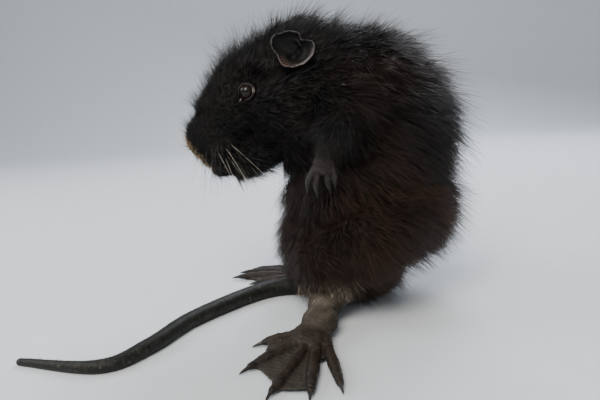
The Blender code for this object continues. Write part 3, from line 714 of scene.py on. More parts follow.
def tuft_faces(rings, count):
    """The corners and face sizes of many closed, three-sided tufts with the same rings."""
    corners, sizes = [0, 2, 1], [3]
    for r in range(rings - 1):
        for k in range(3):
            a, b = r * 3 + k, r * 3 + (k + 1) % 3
            corners += [a, b, b + 3, a + 3]
            sizes.append(4)
    last = (rings - 1) * 3
    for k in range(3):
        corners += [last + k, last + (k + 1) % 3, rings * 3]
        sizes.append(3)
    shift = np.arange(count)[:, None] * (rings * 3 + 1)
    return (np.array(corners)[None] + shift).ravel(), np.tile(sizes, count)


PATCH = 0.0015  # half the width of a tuft's patch on the bake map
HAIR_GAP = 0.0004  # the least height of any hair, in metres


def tufts(
    name, roots, normals, lies, length, lift, width, pull, uv, colours, taper, sink=0.0006, flat=0.55
):
    """Many thin, bent, tapering tufts in one mesh. taper is each ring's share of the width."""
    count, rings = len(roots), len(taper)
    side = unit(np.cross(normals, lies))
    over = np.cross(lies, side)
    length, width = length[:, None], width[:, None]
    rise = (length * np.sin(lift)[:, None]) * normals
    run = (length * np.cos(lift)[:, None]) * lies
    places = np.empty((count, rings * 3 + 1, 3))
    spots = np.empty((count, rings * 3 + 1, 2))
    paint = np.empty((count, rings * 3 + 1, 3))
    for r in range(rings + 1):
        t = r / rings
        middle = roots - normals * sink * (1 - t) + run * t + rise * (1.3 * t - 0.3 * t * t) + pull * t * t
        shade = 0.75 + 0.5 * t
        if r == rings:
            places[:, -1], spots[:, -1], paint[:, -1] = middle, uv, colours * shade
            break
        half = width * taper[r] / 2
        for k in range(3):
            angle = 2 * math.pi * (k + 0.25) / 3
            out = side * math.cos(angle) + over * math.sin(angle) * flat
            places[:, r * 3 + k] = middle + out * half
            round_it = np.array([math.cos(angle), math.sin(angle)])
            spots[:, r * 3 + k] = uv + round_it * PATCH * (1 - t)
            paint[:, r * 3 + k] = colours * shade
    places = places.reshape(-1, 3)
    places[:, 2] = np.maximum(places[:, 2], HAIR_GAP)
    corners, sizes = tuft_faces(rings, count)
    made = from_arrays(name, places, corners, sizes)
    layer = made.data.uv_layers.new(name="OFBake")
    layer.uv.foreach_set("vector", spots.reshape(-1, 2)[corners].clip(0, 1).astype(np.float32).ravel())
    set_colours(made.data, paint.reshape(-1, 3))
    return made


def triangles_of(mesh):
    mesh.calc_loop_triangles()
    return values_of(mesh.loop_triangles, "vertices", 3, np.int32)


def unwrapped_region(places, normals, triangles, name):
    """The triangles' corners and normals, and their places on an unwrap of that region alone."""
    used, corners = np.unique(triangles, return_inverse=True)
    corners = corners.reshape(-1, 3)
    piece = from_arrays(name, places[used], corners.ravel(), np.full(len(corners), 3))
    piece.data.uv_layers.new(name="OFBake")
    bpy.ops.object.select_all(action="DESELECT")
    piece.select_set(True)
    bpy.context.view_layer.objects.active = piece
    bpy.ops.object.mode_set(mode="EDIT")
    bpy.ops.mesh.select_all(action="SELECT")
    bpy.ops.uv.smart_project(angle_limit=1.15, island_margin=0.002, scale_to_bounds=True)
    bpy.ops.object.mode_set(mode="OBJECT")
    uv = values_of(piece.data.uv_layers.active.uv, "vector", 2)
    order = values_of(piece.data.loops, "vertex_index", 1, np.int32).reshape(-1, 3)
    discard(piece)
    return places[used][order], normals[used][order], uv.reshape(-1, 3, 2).astype(float)


def roots_on(region, density, chance):
    """Random roots, so many to a square millimetre, each with its normal and its place on the map."""
    corner_places, corner_normals, uv = region
    edges = np.cross(corner_places[:, 1] - corner_places[:, 0], corner_places[:, 2] - corner_places[:, 0])
    area = np.linalg.norm(edges, axis=1) / 2 / MM**2
    mounting = np.cumsum(area * density)
    count = int(mounting[-1])
    picked = np.searchsorted(mounting, chance.random(count) * mounting[-1]).clip(0, len(area) - 1)
    a, b = chance.random((2, count))
    over = a + b > 1
    a, b = np.where(over, 1 - a, a), np.where(over, 1 - b, b)
    share = np.stack([1 - a - b, a, b], 1)[:, :, None]
    roots = (corner_places[picked] * share).sum(1)
    normals = unit((corner_normals[picked] * share).sum(1))
    return roots, normals, (uv[picked] * share).sum(1)


def organ_frame(place, side, centre, outward):
    """The frame of an eye or ear: its X points back along the head and its Z outward. In metres."""
    back = Vector((1, 0, 0))
    back = (back - outward * back.dot(outward)).normalized()
    turn = Matrix((back, outward.cross(back), outward)).transposed().to_4x4()
    flip = Matrix.Diagonal((1, side_sign(side), 1, 1))
    return place @ flip @ Matrix.Translation(centre * MM) @ turn


def ear_frame(side):
    return organ_frame(Matrix(), side, EAR_CENTRE, EAR_FACING)


def eye_frame(side):
    return organ_frame(HEAD, side, EYE_CENTRE, EYE_OUTWARD)


def seen_from(points, place):
    """Places in an organ's frame, in millimetres, and their distances and angles from its middle."""
    local = moved(points, place.inverted()) / MM
    return local, np.hypot(local[:, 0], local[:, 1]), np.arctan2(local[:, 1], local[:, 0])


def ear_outline(angle):
    """The rim's distance from the middle of the ear, in millimetres: an oval with a notch behind its top."""
    degrees = np.degrees(angle)

    def near(middle, width):
        return hump((degrees - middle + 180) % 360 - 180, 0, width)

    oval = 1 / np.sqrt((np.cos(angle) / EAR_LONG) ** 2 + (np.sin(angle) / EAR_HIGH) ** 2)
    return oval + 2.0 * near(146, 20) - 4.6 * near(39, 21) - 0.9 * near(76, 14) - 2.9 * near(-163, 26)


CORNER_ANGLE = math.radians(192)  # the tear duct's corner lies ahead of the eye and a little low
BEAD_AWAY = 6.1  # from the middle of the eye to the bead in that corner


def lid_opening(angle):
    """How far the edge of the lids lies from the middle of the eye, in millimetres."""
    return 3.8 + 3.5 * hump(wrapped(angle - CORNER_ANGLE), 0, 0.33) + 0.35 * hump(wrapped(angle), 0, 0.4)


def clear_of_openings(roots, tips):
    """True for the tufts that grow outside the eyes, nostrils and ears and don't lie across them."""
    keep = np.ones(len(roots), bool)
    middles = (roots + tips) / 2
    for side in SIDES:
        for points, reach in ((roots, 1.2), (tips, 0.4)):
            local, away, angle = seen_from(points, eye_frame(side))
            keep &= ~((away < lid_opening(angle) + reach) & (local[:, 2] > -2))
        nostril = on_head(NOSTRIL_CENTRE, side)
        for points, reach in ((roots, 2.2), (middles, 1.9), (tips, 1.5)):
            keep &= np.linalg.norm(points - nostril, axis=1) > reach * MM
        for points in (roots, middles, tips):
            local, away, angle = seen_from(points, ear_frame(side))
            inside = away < ear_outline(angle) + 0.2
            keep &= ~(inside & (local[:, 2] > -7.5) & (local[:, 2] < 14))
    return keep


def gathered(roots, chance, every, strength):
    """How far each tip is pulled towards the middle of its own tuft of hairs."""
    middles = roots[chance.random(len(roots)) < 1 / every]
    tree = KDTree(len(middles))
    for number, place in enumerate(middles):
        tree.insert(place, number)
    tree.balance()
    nearest = np.array([tree.find(place)[1] for place in roots])
    return (middles[nearest] - roots) * strength


# Painted glints: the share of tufts made brighter, and by how much, for guard hair catching the light.
GLINT_SHARE = 0.035  # of the tufts are lighter than the rest
GLINT_TONE = 2.4
WHITE_SHARE = 0.0008  # of the bristles are white
WHITE_SHARE_ON_NECK = 0.008
WHITE_SIZE = 0.6  # of a white bristle against the others
# One layer of tufts: its kind, how many to a square millimetre, their length, lift, width and taper, how
# many share a tip, how far they are pulled to it, and how bright they are.
Layer = namedtuple("Layer", "kind density length lift width taper every pulled tone")


def longest(length_share, height):
    """How long the hair may be at a height, so that it doesn't trail on the floor. In metres."""
    if length_share < 1:
        shortest, rise = 0.0035, 0.11
    elif length_share < 1.3:
        shortest, rise = 0.009, 0.16
    else:
        shortest, rise = 0.014, 0.2
    return np.minimum(shortest + rise * height, 0.0035 + 1.1 * np.maximum(height - 0.002, 0))


def grown_on(region, density, chance):
    """Roots where hair grows, with their normals, places on the map, and the hair's length and lift."""
    roots, normals, uv = roots_on(region, density, chance)
    length, lift = coat_values(roots)
    keep = (roots[:, 2] > 0.004) & (normals[:, 2] > -0.93)
    keep &= chance.random(len(roots)) > on_bare_skin(roots)
    return [x[keep] for x in (roots, normals, uv, length, lift)]


def hair_paint(roots, tone, colours, chance):
    """Each tuft's colour: the marking there, paler or darker by chance, and some brighter ones as painted
    glints of guard hair catching the light.
    """
    paint = markings(roots, colours)
    uneven = 0.30 + 0.55 * np.clip(paint.mean(1) / 0.06, 0, 1)
    paint = paint * (tone * np.exp(uneven * chance.normal(0, 1, len(roots))))[:, None]
    # Painted glints: a few tufts made brighter, for the gloss of guard hair in the light.
    light = chance.random(len(roots)) < GLINT_SHARE
    paint[light] = paint[light] * GLINT_TONE
    return paint


def coat_piece(layer, name, region, density, colours, seed):
    """One layer of the coat over one region of the skin. density is the user's share of the tufts."""
    chance = np.random.default_rng(seed)
    density = layer.density * density * 1.0
    roots, normals, uv, length, lift = grown_on(region, density, chance)
    count = len(roots)
    length = length * layer.length * chance.uniform(0.72, 1.22, count)
    length *= 1 + 0.18 * waves(roots, 0.012, 8)
    length = np.minimum(length, longest(layer.length, roots[:, 2]))
    lift = lift * layer.lift * chance.uniform(0.75, 1.25, count)
    lies = swung(lie_of_coat(roots, normals), normals, chance.normal(0, 0.16, count))
    tips = roots + lies * (length * np.cos(lift))[:, None] + normals * (length * np.sin(lift))[:, None]
    keep = clear_of_openings(roots, tips)
    roots, normals, uv, length, lift, lies = (x[keep] for x in (roots, normals, uv, length, lift, lies))
    count = len(roots)
    pull = gathered(roots, chance, layer.every, layer.pulled)
    pull[:, 2] -= 0.10 * length
    thick = layer.width * MM * chance.uniform(0.75, 1.3, count)
    thick = thick * np.clip((length / MM / 9) ** 0.45, 0.5, 1.25)
    paint = hair_paint(roots, layer.tone, colours, chance)
    if layer.kind == "bristles":
        white = chance.random(count) < (WHITE_SHARE_ON_NECK if name == "neck" else WHITE_SHARE)
        paint[white] = np.array(colours.whisker) * 0.5
        thick[white] *= WHITE_SIZE
        length[white] *= WHITE_SIZE
    full_name = layer.kind + "_" + name
    return tufts(full_name, roots, normals, lies, length, lift, thick, pull, uv, paint, layer.taper)


def on_bare_skin(points):
    """1 on the soles, toes, fingers and nose, where no coat grows, and 0 elsewhere."""
    height = points[:, 2] / MM
    local = head_places(points)
    nose = 0.8 * ease(78.6, 79.4, -local[:, 0]) * ease(-10, -8, local[:, 2])
    foot = np.zeros(len(points))
    for side in SIDES:
        (x, y), heading, _ = HIND_FEET[side]
        angle = math.radians(heading)
        along = np.array([-math.cos(angle), -math.sin(angle) * side_sign(side)])
        ahead = (points[:, :2] / MM - np.array([x, y])) @ along
        foot = np.maximum(foot, ease(36, 56, ahead) * (1 - ease(18, 26, height)))
    hand = ease(44, 47, np.abs(points[:, 1]) / MM) * (1 - ease(86, 91, height)) * ease(60, 66, height)
    return np.maximum(np.maximum(nose, foot), hand)


# The skin.


def toe_path(side, number):
    """The middle line of a hind toe and its radii, in millimetres, on the foot where it stands."""
    along, across, degrees, length = HIND_TOES[number]
    angle = math.radians(degrees * HIND_FEET[side][2])
    forward = Vector((-math.cos(angle), math.sin(angle), 0))
    points = []
    for t, radius in zip(TOE_STEPS, TOE_RADII):
        height = radius * 0.88 + max(0.0, 3.2 + 2.4 * max(0.0, 1 - t) ** 1.6 - radius * 0.88) * 0.6
        points.append(Vector((-along, across, 0)) + forward * length * t + Vector((0, 0, height)))
    place = foot_place(side)
    return [place @ p for p in points], TOE_RADII


def finger_path(side, number):
    """The middle line of a finger and its radii, in millimetres."""
    out = -side_sign(side)
    wrist = on_side(WRIST, side)
    joints = [wrist + Vector((x, out * b, z)) for (x, z), b in zip(FORE_TOES[number], (0.2, 1.0, -0.2))]
    return smooth_path(joints, 3), FINGER_RADII


WEB_ALONG = 12
WEB_ACROSS = 10
WEB_HALF = 0.68  # half the thickness of a web


def web(first, second, reach):
    """The skin between two toes, hollowed along its free edge, as a thin closed slab."""
    rings = []
    for along in np.linspace(0, 1, WEB_ALONG + 1):
        top = []
        for across in np.linspace(0, 1, WEB_ACROSS + 1):
            share = along * reach * (1 - 0.15 * math.sin(math.pi * across))
            middle = first[0].lerp(first[1], share).lerp(second[0].lerp(second[1], share), across)
            sag = 0.35 * math.sin(math.pi * across) * math.sin(math.pi * min(1.0, along * 1.3))
            middle.z = 1.6 + (1 - share) * 2.2 - sag
            top.append(list(middle))
        top = np.array(top)
        rings.append(np.concatenate([top + [0, 0, WEB_HALF], top[::-1] - [0, 0, WEB_HALF]]))
    return tube(np.array(rings))


def leg_and_foot(side):
    """The lower leg, foot, toes and webs of one side, fused into one fine skin."""
    place = foot_place(side)
    turn = place.to_3x3().to_4x4()
    balls = balls_of(LEG_FORMS, Matrix(), (side,))
    for along, across, height, *radii in SOLE:
        balls.append(ball(place @ Vector((-along, across, height)), radii, turn))
    lines = []
    for number in range(len(HIND_TOES)):
        points, radii = toe_path(side, number)
        balls += chain_of(points, radii, 0.8)
        lines.append((points[1], points[-1]))
    webs = [web(lines[number], lines[number + 1], reach) for number, reach in enumerate(WEB_REACH)]
    foot = fused("lower_leg_" + side, balls, LEG_VOXEL, 4, webs)
    places = places_of(foot.data)
    normals = normals_of(foot.data)
    low = 1 - ease(14, 24, places[:, 2] / MM)
    relief = 0.16 * waves(places, 0.0030, 21) + 0.10 * waves(places, 0.0014, 22)
    places += normals * (relief * low * MM)[:, None]
    places[:, 2] = np.maximum(places[:, 2], FLOOR_GAP * MM)
    set_places(foot.data, places)
    return foot


def arm_and_hand(side):
    """The forearm, palm and fingers of one side, fused into one fine skin."""
    arm = smooth_path([on_side(p, side) for p in FOREARM], 4)
    radii = [values_between(FOREARM_RADII, i / (len(arm) - 1)) * 0.96 for i in range(len(arm))]
    balls = chain_of(arm, radii, 1.2)
    out = -side_sign(side)
    balls += [ball(on_side(WRIST, side) + Vector((x, -out * y, z)), sizes) for x, y, z, *sizes in PALM]
    for number in range(len(FORE_TOES)):
        balls += chain_of(*finger_path(side, number), 0.5)
    hand = fused("forearm_" + side, balls, HAND_VOXEL, 2)
    places = places_of(hand.data)
    places += normals_of(hand.data) * (0.08 * waves(places, 0.0016, 23) * MM)[:, None]
    set_places(hand.data, places)
    return hand


def trunk_and_head():
    """The trunk, head and upper limbs melted together, with sockets, nostrils and mouth pressed in."""
    balls = balls_of(TRUNK_FORMS, Matrix()) + balls_of(LIMB_FORMS + LEG_FORMS[:1], Matrix(), SIDES)
    balls += balls_of(HEAD_FORMS, HEAD) + balls_of(FACE_FORMS, HEAD, SIDES)
    body = fused("nutria_skin", balls, TRUNK_VOXEL, 0, segments=40)
    ahead = -head_places(places_of(body.data))[:, 0]
    soft = np.round(np.clip(1.0 - (ahead - 5) / 60, 0.35, 1.0), 1)
    group = body.vertex_groups.new(name="soft")
    for level in np.unique(soft):
        group.add(np.nonzero(soft == level)[0].tolist(), float(level), "REPLACE")
    add_smoothing(body, 60).vertex_group = "soft"
    apply_modifiers(body)
    places = press_face(places_of(body.data), normals_of(body.data))
    places[:, 2] = np.maximum(places[:, 2], FLOOR_GAP * MM)
    set_places(body.data, places)
    return body


def press_face(places, normals):
    """Presses the mouth, the cleft below the nose, the nostrils and the eye sockets into the skin."""
    local = head_places(places)
    ahead = -local[:, 0]
    mouth = -20.6 + 0.045 * (ahead - 76)
    depth = 1.5 * hump(local[:, 2], mouth, 0.85) * ease(40, 52, ahead)
    depth += 0.9 * hump(local[:, 1], 0, 0.8) * ease(66, 72, ahead) * ease(-21, -18, local[:, 2])
    depth *= 1 - ease(-9, -6, local[:, 2])
    for side in SIDES:
        _, y, z = on_side(NOSTRIL_CENTRE, side)
        across = (local[:, 1] - y) * side_sign(side)
        slit = 0.90 * across + 0.44 * (local[:, 2] - z)
        high = -0.44 * across + 0.90 * (local[:, 2] - z)
        depth += 2.8 * np.exp(-((slit / 2.1) ** 2) - (high / 1.0) ** 2) * ease(66, 72, ahead)
    places = places - normals * (depth * MM)[:, None]
    for side in SIDES:
        local, away, angle = seen_from(places, eye_frame(side))
        opening = lid_opening(angle)
        globe = np.sqrt(np.maximum((EYE_RADIUS / MM) ** 2 - away**2, 0)) - 0.9
        inside = 1 - ease(opening + 0.5, opening + 1.8, away)
        inside *= (local[:, 2] > -3) * (local[:, 2] < 12)
        local[:, 2] += (np.minimum(local[:, 2], np.maximum(globe, -0.3)) - local[:, 2]) * inside
        places = np.where((inside > 0)[:, None], moved(local * MM, eye_frame(side)), places)
    return places


def organ(name, mesh, side, place, paint):
    """An ear or a pair of lids: its mesh set in its frame, mirrored on the other side, and coloured."""
    places, corners, counts = mesh
    made = from_arrays(name + side, moved(places * MM, place), corners, counts)
    if side == "L":
        made.data.flip_normals()
    set_colours(made.data, paint.reshape(-1, 3))
    return made


REAR_SPECKLE_TURN = 0.5  # how far below straight back the pale speckles on the lids lie, in radians
# Each line of the lids: how far outside their edge, how high above the middle of the eye, and how pale.
LID_LINES = (
    (0.0, 2.20, 0.05), (0.05, 2.75, 0.2), (0.22, 3.08, 0.9), (0.50, 3.14, 1.0), (0.78, 2.98, 0.3),
    (1.05, 2.72, 0.0), (1.30, 2.66, 0.10), (1.65, 2.25, 0.0), (2.1, 1.20, 0.0), (2.6, -0.4, 0.0),
    (1.9, -1.4, 0.0), (1.0, -0.4, 0.0), (0.3, 1.2, 0.0),
)


def lids(side, colours):
    """Both lids as one rounded ring that hugs the eyeball and runs out ahead of it to the tear duct."""
    angles = round_angles(84)
    corner = hump(wrapped(angles - CORNER_ANGLE), 0, 0.5)
    rear = hump(wrapped(angles), -REAR_SPECKLE_TURN, 0.26)
    ripple = 0.10 * np.sin(angles * 17) + 0.07 * np.sin(angles * 29 + 1)
    rows, paint = [], []
    for out, high, pale in LID_LINES:
        reach = lid_opening(angles) + out * (1 - 0.35 * corner) + ripple * (out > 1)
        height = high * (1 - 0.62 * corner) - 0.5 * corner + ripple * 0.5 * (out > 0.2)
        rows.append(np.stack([np.cos(angles) * reach, np.sin(angles) * reach, height], 1))
        tone = np.array(colours.lid) * (0.10 + 0.90 * pale)
        # Pale speckles on the rear of the lids.
        rear_speckle = (rear * (0.15 < out < 1.5) * (0.6 + 0.4 * np.sin(angles * 41 + out * 3)))[:, None]
        paint.append(blend(tone, np.array(to_linear(LID_REAR_SPECKLE)), rear_speckle))
    made = organ("lids_", tube(np.array(rows), closed=True), side, eye_frame(side), np.array(paint))
    smooth = made.modifiers.new("Smooth", "SUBSURF")
    smooth.levels = smooth.render_levels = 1
    return apply_modifiers(made)


def ear_paint(angles, degrees, shares, facing, grain, colours):
    """Black, darker deep in the cup as painted shade, with a pale rim, paler inside the low rear as painted
    light, and pinkish where the front root is wrinkled.
    """
    lit_low_rear = hump(degrees, -48, 40)
    low_front = hump(degrees, -130, 30)
    edge = ease(0.962, 0.99, shares) * (0.35 + 0.35 * low_front + 0.3 * grain)
    # The paler inside of the low rear is painted light; the pale rim itself is the ear's own colour.
    edge = edge + ease(0.72, 0.92, shares) * lit_low_rear * facing * (0.8 + 0.3 * grain)
    edge = np.clip(edge, 0, 1)[..., None]
    pink = (ease(0.55, 0.85, shares) * low_front * facing * (0.55 + 0.45 * np.sin(angles * 34)))[..., None]
    # Painted shade: the ear darker towards its middle, deep in the cup.
    base = np.array(colours.ear) * (0.12 + 0.88 * shares**3)[..., None]
    return blend(blend(base, np.array(colours.ear_rim), edge), np.array(to_linear(EAR_WRINKLES)), pink)


def ear(side, colours):
    """A thin cup of gristle with a rolled pale rim, a fold inside and wrinkles at its front root."""
    angles = round_angles(120)[None]
    degrees = (np.degrees(angles) + 180) % 360 - 180
    front = np.concatenate([np.linspace(0.03, 0.9, 18), np.linspace(0.92, 1, 6)])
    rear = np.linspace(1, 0.03, 12)
    shares = np.concatenate([front, rear])[:, None]
    facing = np.concatenate([np.ones(len(front)), np.zeros(len(rear))])[:, None]
    bowl = -6.3 * (1 - shares**2.3) ** 0.8
    fold = 1.5 * hump(shares, 0.58, 0.10) * hump(degrees, 58, 40)
    fold = fold + 0.9 * hump(shares, 0.42, 0.10) * hump(degrees, -20, 60)
    hollow = -1.8 * hump(shares * np.cos(angles), -0.15, 0.28) * hump(shares * np.sin(angles), -0.25, 0.3)
    crinkle = 0.45 * np.sin(angles * 34) * hump(degrees, -128, 28) * ease(0.5, 0.9, shares)
    flare = 0.5 * hump(shares, 1.0, 0.08)
    wall = (1 - facing) * (0.40 + 2.6 * (1 - shares))
    height = bowl + (fold + hollow + crinkle) * facing + flare - wall
    reach = ear_outline(angles) * shares + (1 - facing) * 0.3 * shares
    reach = reach + 0.12 * np.sin(angles * 11) * shares**6
    cup = tube(np.stack([np.cos(angles) * reach, np.sin(angles) * reach, height], 2))
    grain = waves(cup[0] * MM, 0.0022, 31).reshape(len(shares), -1)
    paint = ear_paint(angles, degrees, shares, facing, grain, colours)
    return organ("ear_", cup, side, ear_frame(side), paint)


def tail_line():
    """Even steps along the middle of the tail, with its radius at each, in millimetres."""
    path = np.array([list(p) for p in smooth_path([(x, y, 0) for x, y in TAIL_PATH], 40)])
    lengths = np.concatenate([[0], np.cumsum(np.linalg.norm(np.diff(path, axis=0), axis=1))])
    marks = np.linspace(0, 1, len(path)) * (len(TAIL_RADII) - 1)
    radius_there = np.interp(marks, np.arange(len(TAIL_RADII)), TAIL_RADII)
    count = int(lengths[-1] / (TAIL_RING / 4))
    at = np.linspace(0, lengths[-1], count)
    line = np.stack([np.interp(at, lengths, path[:, axis]) for axis in range(3)], 1)
    radius = np.interp(at, lengths, radius_there)
    line[:, 2] = radius * 0.93
    return line, radius, at


def tail_axes(line):
    """The way along the tail at each step, and the ways across it and up."""
    along = unit(np.gradient(line, axis=0))
    across = unit(np.cross([0, 0, 1], along))
    return along, across, np.cross(along, across)


def tail(colours):
    """A tapering tail with low overlapping rings of scales, which rests on the floor, coloured with painted
    shade in the grooves between scales.
    """
    line, radius, at = tail_line()
    _, across, up = tail_axes(line)
    angles = round_angles(TAIL_SCALES * 2)
    ring = (at / TAIL_RING) % 1.0
    number = np.floor(at / TAIL_RING)[:, None]
    step = np.where(ring < 0.8, ring / 0.8, (1 - ring) / 0.2)[:, None]
    scallop = 0.5 + 0.5 * np.cos(angles[None] * TAIL_SCALES + math.pi * number)
    thick = radius[:, None] + 0.24 * step * (0.55 + 0.45 * scallop) * np.minimum(1, radius[:, None] / 4)
    thick[-6:] *= np.array([0.95, 0.88, 0.78, 0.62, 0.42, 0.18])[:, None]
    out = across[:, None] * np.cos(angles)[None, :, None] + up[:, None] * np.sin(angles)[None, :, None]
    places, corners, counts = tube(line[:, None] + out * thick[..., None])
    places[:, 2] = np.maximum(places[:, 2], FLOOR_GAP)
    made = from_arrays("tail", places * MM, corners, counts)
    chance = np.random.default_rng(SEED + 300)
    shades = chance.lognormal(-0.1, 0.55, (int(at[-1] / TAIL_RING) + 2, TAIL_SCALES))
    scale = ((angles * TAIL_SCALES / (2 * math.pi))[None] + 0.5 * (number % 2)).astype(int) % TAIL_SCALES
    # Painted shade and highlight: each ring of scales darker in the groove at its root and between scales,
    # lighter along its raised edge; the per-scale spread is random tone.
    tone = (0.35 + 1.15 * step * (0.45 + 0.55 * scallop)) * shades[number.astype(int), scale]
    paint = np.array(colours.tail) * tone[..., None]
    set_colours(made.data, paint.reshape(-1, 3))
    return made


def web_share(points):
    """1 on the webs between the hind toes, 0 on the toes and the rest."""
    nearest = np.full(len(points), 1e3)
    part = points / MM
    for side in SIDES:
        for number in range(len(HIND_TOES)):
            line, _ = toe_path(side, number)
            start, end = np.array(line[1]), np.array(line[-1])
            span = end - start
            share = np.clip((part - start) @ span / (span @ span), 0, 1)
            away = np.linalg.norm(part - start - share[:, None] * span, axis=1)
            nearest = np.minimum(nearest, away)
    return ease(2.6, 4.0, nearest) * (1 - ease(3.2, 5.0, part[:, 2]))


def skin_colours(points, colours):
    """The colour of the skin: as the coat over it, or that of the bare feet, fingers and nose, with painted
    shade in the nostrils and a painted highlight along the tops of the toes.
    """
    made = markings(points, colours) * 0.6
    # Painted shade: the skin darkened into each nostril.
    for side in SIDES:
        away = np.linalg.norm(points - on_head(NOSTRIL_CENTRE, side), axis=1) / MM
        made = made * (1 - 0.9 * hump(away, 0, 2.6))[:, None]
    height = (points[:, 2] / MM)[:, None]
    mottle = 1.0 + 0.35 * waves(points, 0.009, 11) + 0.2 * waves(points, 0.0025, 12)
    foot = np.array(colours.foot) * mottle[:, None]
    # Painted highlight: the toes lighter along their tops, 3 to 9 mm up.
    toe_highlight = 0.5 * ease(3.0, 5.0, height) * (1 - ease(9, 14, height))
    toe_highlight = toe_highlight * (1 + 0.5 * waves(points, 0.004, 14))[:, None]
    foot = blend(foot, np.array(to_linear(TOE_HIGHLIGHT_COLOUR)), toe_highlight)
    foot = blend(foot, np.array(colours.web), web_share(points)[:, None])
    hand = np.array(colours.paw) * (1 + 0.3 * waves(points, 0.003, 13))[:, None]
    limb = np.where(np.abs(points[:, 1:2]) > 0.038, hand, np.array(to_linear(NOSE_SKIN)))
    return blend(made, np.where(height < 60, foot, limb), ease(0.0, 0.9, on_bare_skin(points))[:, None])


def surface_copy(body):
    """Places, normals and triangles of a lighter copy of the skin, for the coat to grow from."""
    copy = thinned(new_object("light_copy", body.data.copy()), COAT_SURFACE_SHARE)
    found = places_of(copy.data), normals_of(copy.data), triangles_of(copy.data)
    discard(copy)
    return found


# What the hair grows from, filled by the skin's operator for those of the coat and the whiskers.
KEPT = {}


def whole_body():
    """The trunk, head and all four limbs as one closed skin."""
    body = trunk_and_head()
    limbs = [leg_and_foot(side) for side in SIDES] + [arm_and_hand(side) for side in SIDES]
    tools = bpy.data.collections.new("limbs")
    bpy.context.scene.collection.children.link(tools)
    for limb in limbs:
        bpy.context.scene.collection.objects.unlink(limb)
        tools.objects.link(limb)
    union = body.modifiers.new("Union", "BOOLEAN")
    union.operation = "UNION"
    union.solver = "MANIFOLD"
    union.operand_type = "COLLECTION"
    union.collection = tools
    apply_modifiers(body)
    for limb in limbs:
        discard(limb)
    bpy.data.collections.remove(tools)
    return body


def make_skin(colours):
    """The one skin of body, limbs, ears, lids and tail. It keeps a lighter copy for the coat."""
    body = whole_body()
    KEPT["surface"] = surface_copy(body)
    thinned(body, SKIN_SHARE)
    body.data.materials.clear()
    places = places_of(body.data)
    set_colours(body.data, skin_colours(places, colours))
    body.data.materials.append(hide_material())
    body.data.materials.append(bare_skin_material("bare_foot_skin", 0.40, 0.7, 0.12, 0.5, 0.24))
    bare = on_bare_skin(places) > 0.5
    for face in body.data.polygons:
        face.material_index = int(bare[face.vertices[0]])
        face.use_smooth = True
    parts = [body]
    gristle = bare_skin_material("ear_gristle", 0.6, 0.5, 0.02, 0.4, 0.22)
    lid_skin = bare_skin_material("lid_skin", 0.55, 0.4, 0.03, 0.3, 0.15)
    scales = bare_skin_material("tail_scales", 0.48, 0.75, 0.06, 0.25, 0.26)
    for side in SIDES:
        for made, look in ((ear(side, colours), gristle), (lids(side, colours), lid_skin)):
            made.data.materials.append(look)
            parts.append(made)
    made = tail(colours)
    made.data.materials.append(scales)
    parts.append(made)
    skin = join(parts, "nutria_skin")
    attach(skin, "root")
    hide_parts(*FLESH)


def make_eye(side, sizes, colours):
    """An eyeball with a slightly raised cornea, and the small wet bead in the tear duct's corner."""
    bm = bmesh.new()
    bmesh.ops.create_uvsphere(bm, u_segments=48, v_segments=32, radius=sizes.eye_radius)
    for vertex in bm.verts:
        away = math.hypot(vertex.co.x, vertex.co.y) / MM
        if vertex.co.z > 0:
            vertex.co.z += 0.35 * MM * math.exp(-((away / 3.0) ** 2))
    for face in bm.faces:
        face.smooth = True
    eye = from_bmesh("nutria_eye_" + side, bm)
    eye.data.materials.append(eye_material(colours))
    bead_at = Vector((math.cos(CORNER_ANGLE) * BEAD_AWAY, math.sin(CORNER_ANGLE) * BEAD_AWAY, 0.8))
    bead_form = ball(bead_at, (1.35, 0.85, 0.75), Matrix.Rotation(CORNER_ANGLE, 4, "Z"))
    bead = fused("bead", [bead_form], BEAD_VOXEL, 3)
    look, _, shader = new_material("tear_duct", 0.12, Coat_Weight=1.0, Coat_Roughness=0.05)
    shader.inputs["Base Color"].default_value = (*to_linear(TEAR_DUCT), 1)
    bead.data.materials.append(look)
    eye = join([eye, bead], "nutria_eye_" + side)
    eye.matrix_world = eye_frame(side)
    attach(eye, "root")
    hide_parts("eye_" + side)


CLAW_RINGS = 8  # steps along a claw


def claw(tip, forward, length, radius, droop):
    """One curved claw, narrower than high, in millimetres."""
    side = forward.cross(Vector((0, 0, 1)))
    side = side.normalized() if side.length > 0.1 else Vector((0, 1, 0))
    over = side.cross(forward)
    turns = round_angles(12)
    rings = []
    for k in range(CLAW_RINGS + 1):
        t = k / CLAW_RINGS
        middle = tip + forward * (length * t - 0.8) + Vector((0, 0, -droop * t * t))
        width = radius * (1 - t) ** 0.62 * (0.86 if k else 0.7) + 0.06
        around = np.outer(np.cos(turns) * 0.85, list(side)) + np.outer(np.sin(turns), list(over))
        rings.append(np.array(middle) + around * width)
    return tube(np.array(rings))


def make_claws(colours):
    """All eighteen claws as one mesh: each a horn cone that bends down to a blunt point."""
    parts, names = [], []
    for side in SIDES:
        for kind, count, path, sizes in (
            ("hind", len(HIND_TOES), toe_path, (7.6, 1.55, 0.9)),
            ("fore", len(FORE_TOES), finger_path, (5.0, 0.95, 0.1)),
        ):
            for number in range(count):
                line = path(side, number)[0]
                parts.append(claw(line[-1], (line[-1] - line[-2]).normalized(), *sizes))
                names.append(f"claw_{kind}_{side}_{number + 1}")
    places, corners, counts = merged(parts)
    places[:, 2] = np.maximum(places[:, 2], FLOOR_GAP)
    claws = from_arrays("nutria_claws", places * MM, corners, counts)
    claws.data.materials.append(claw_material(colours))
    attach(claws, "root")
    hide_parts(*names)


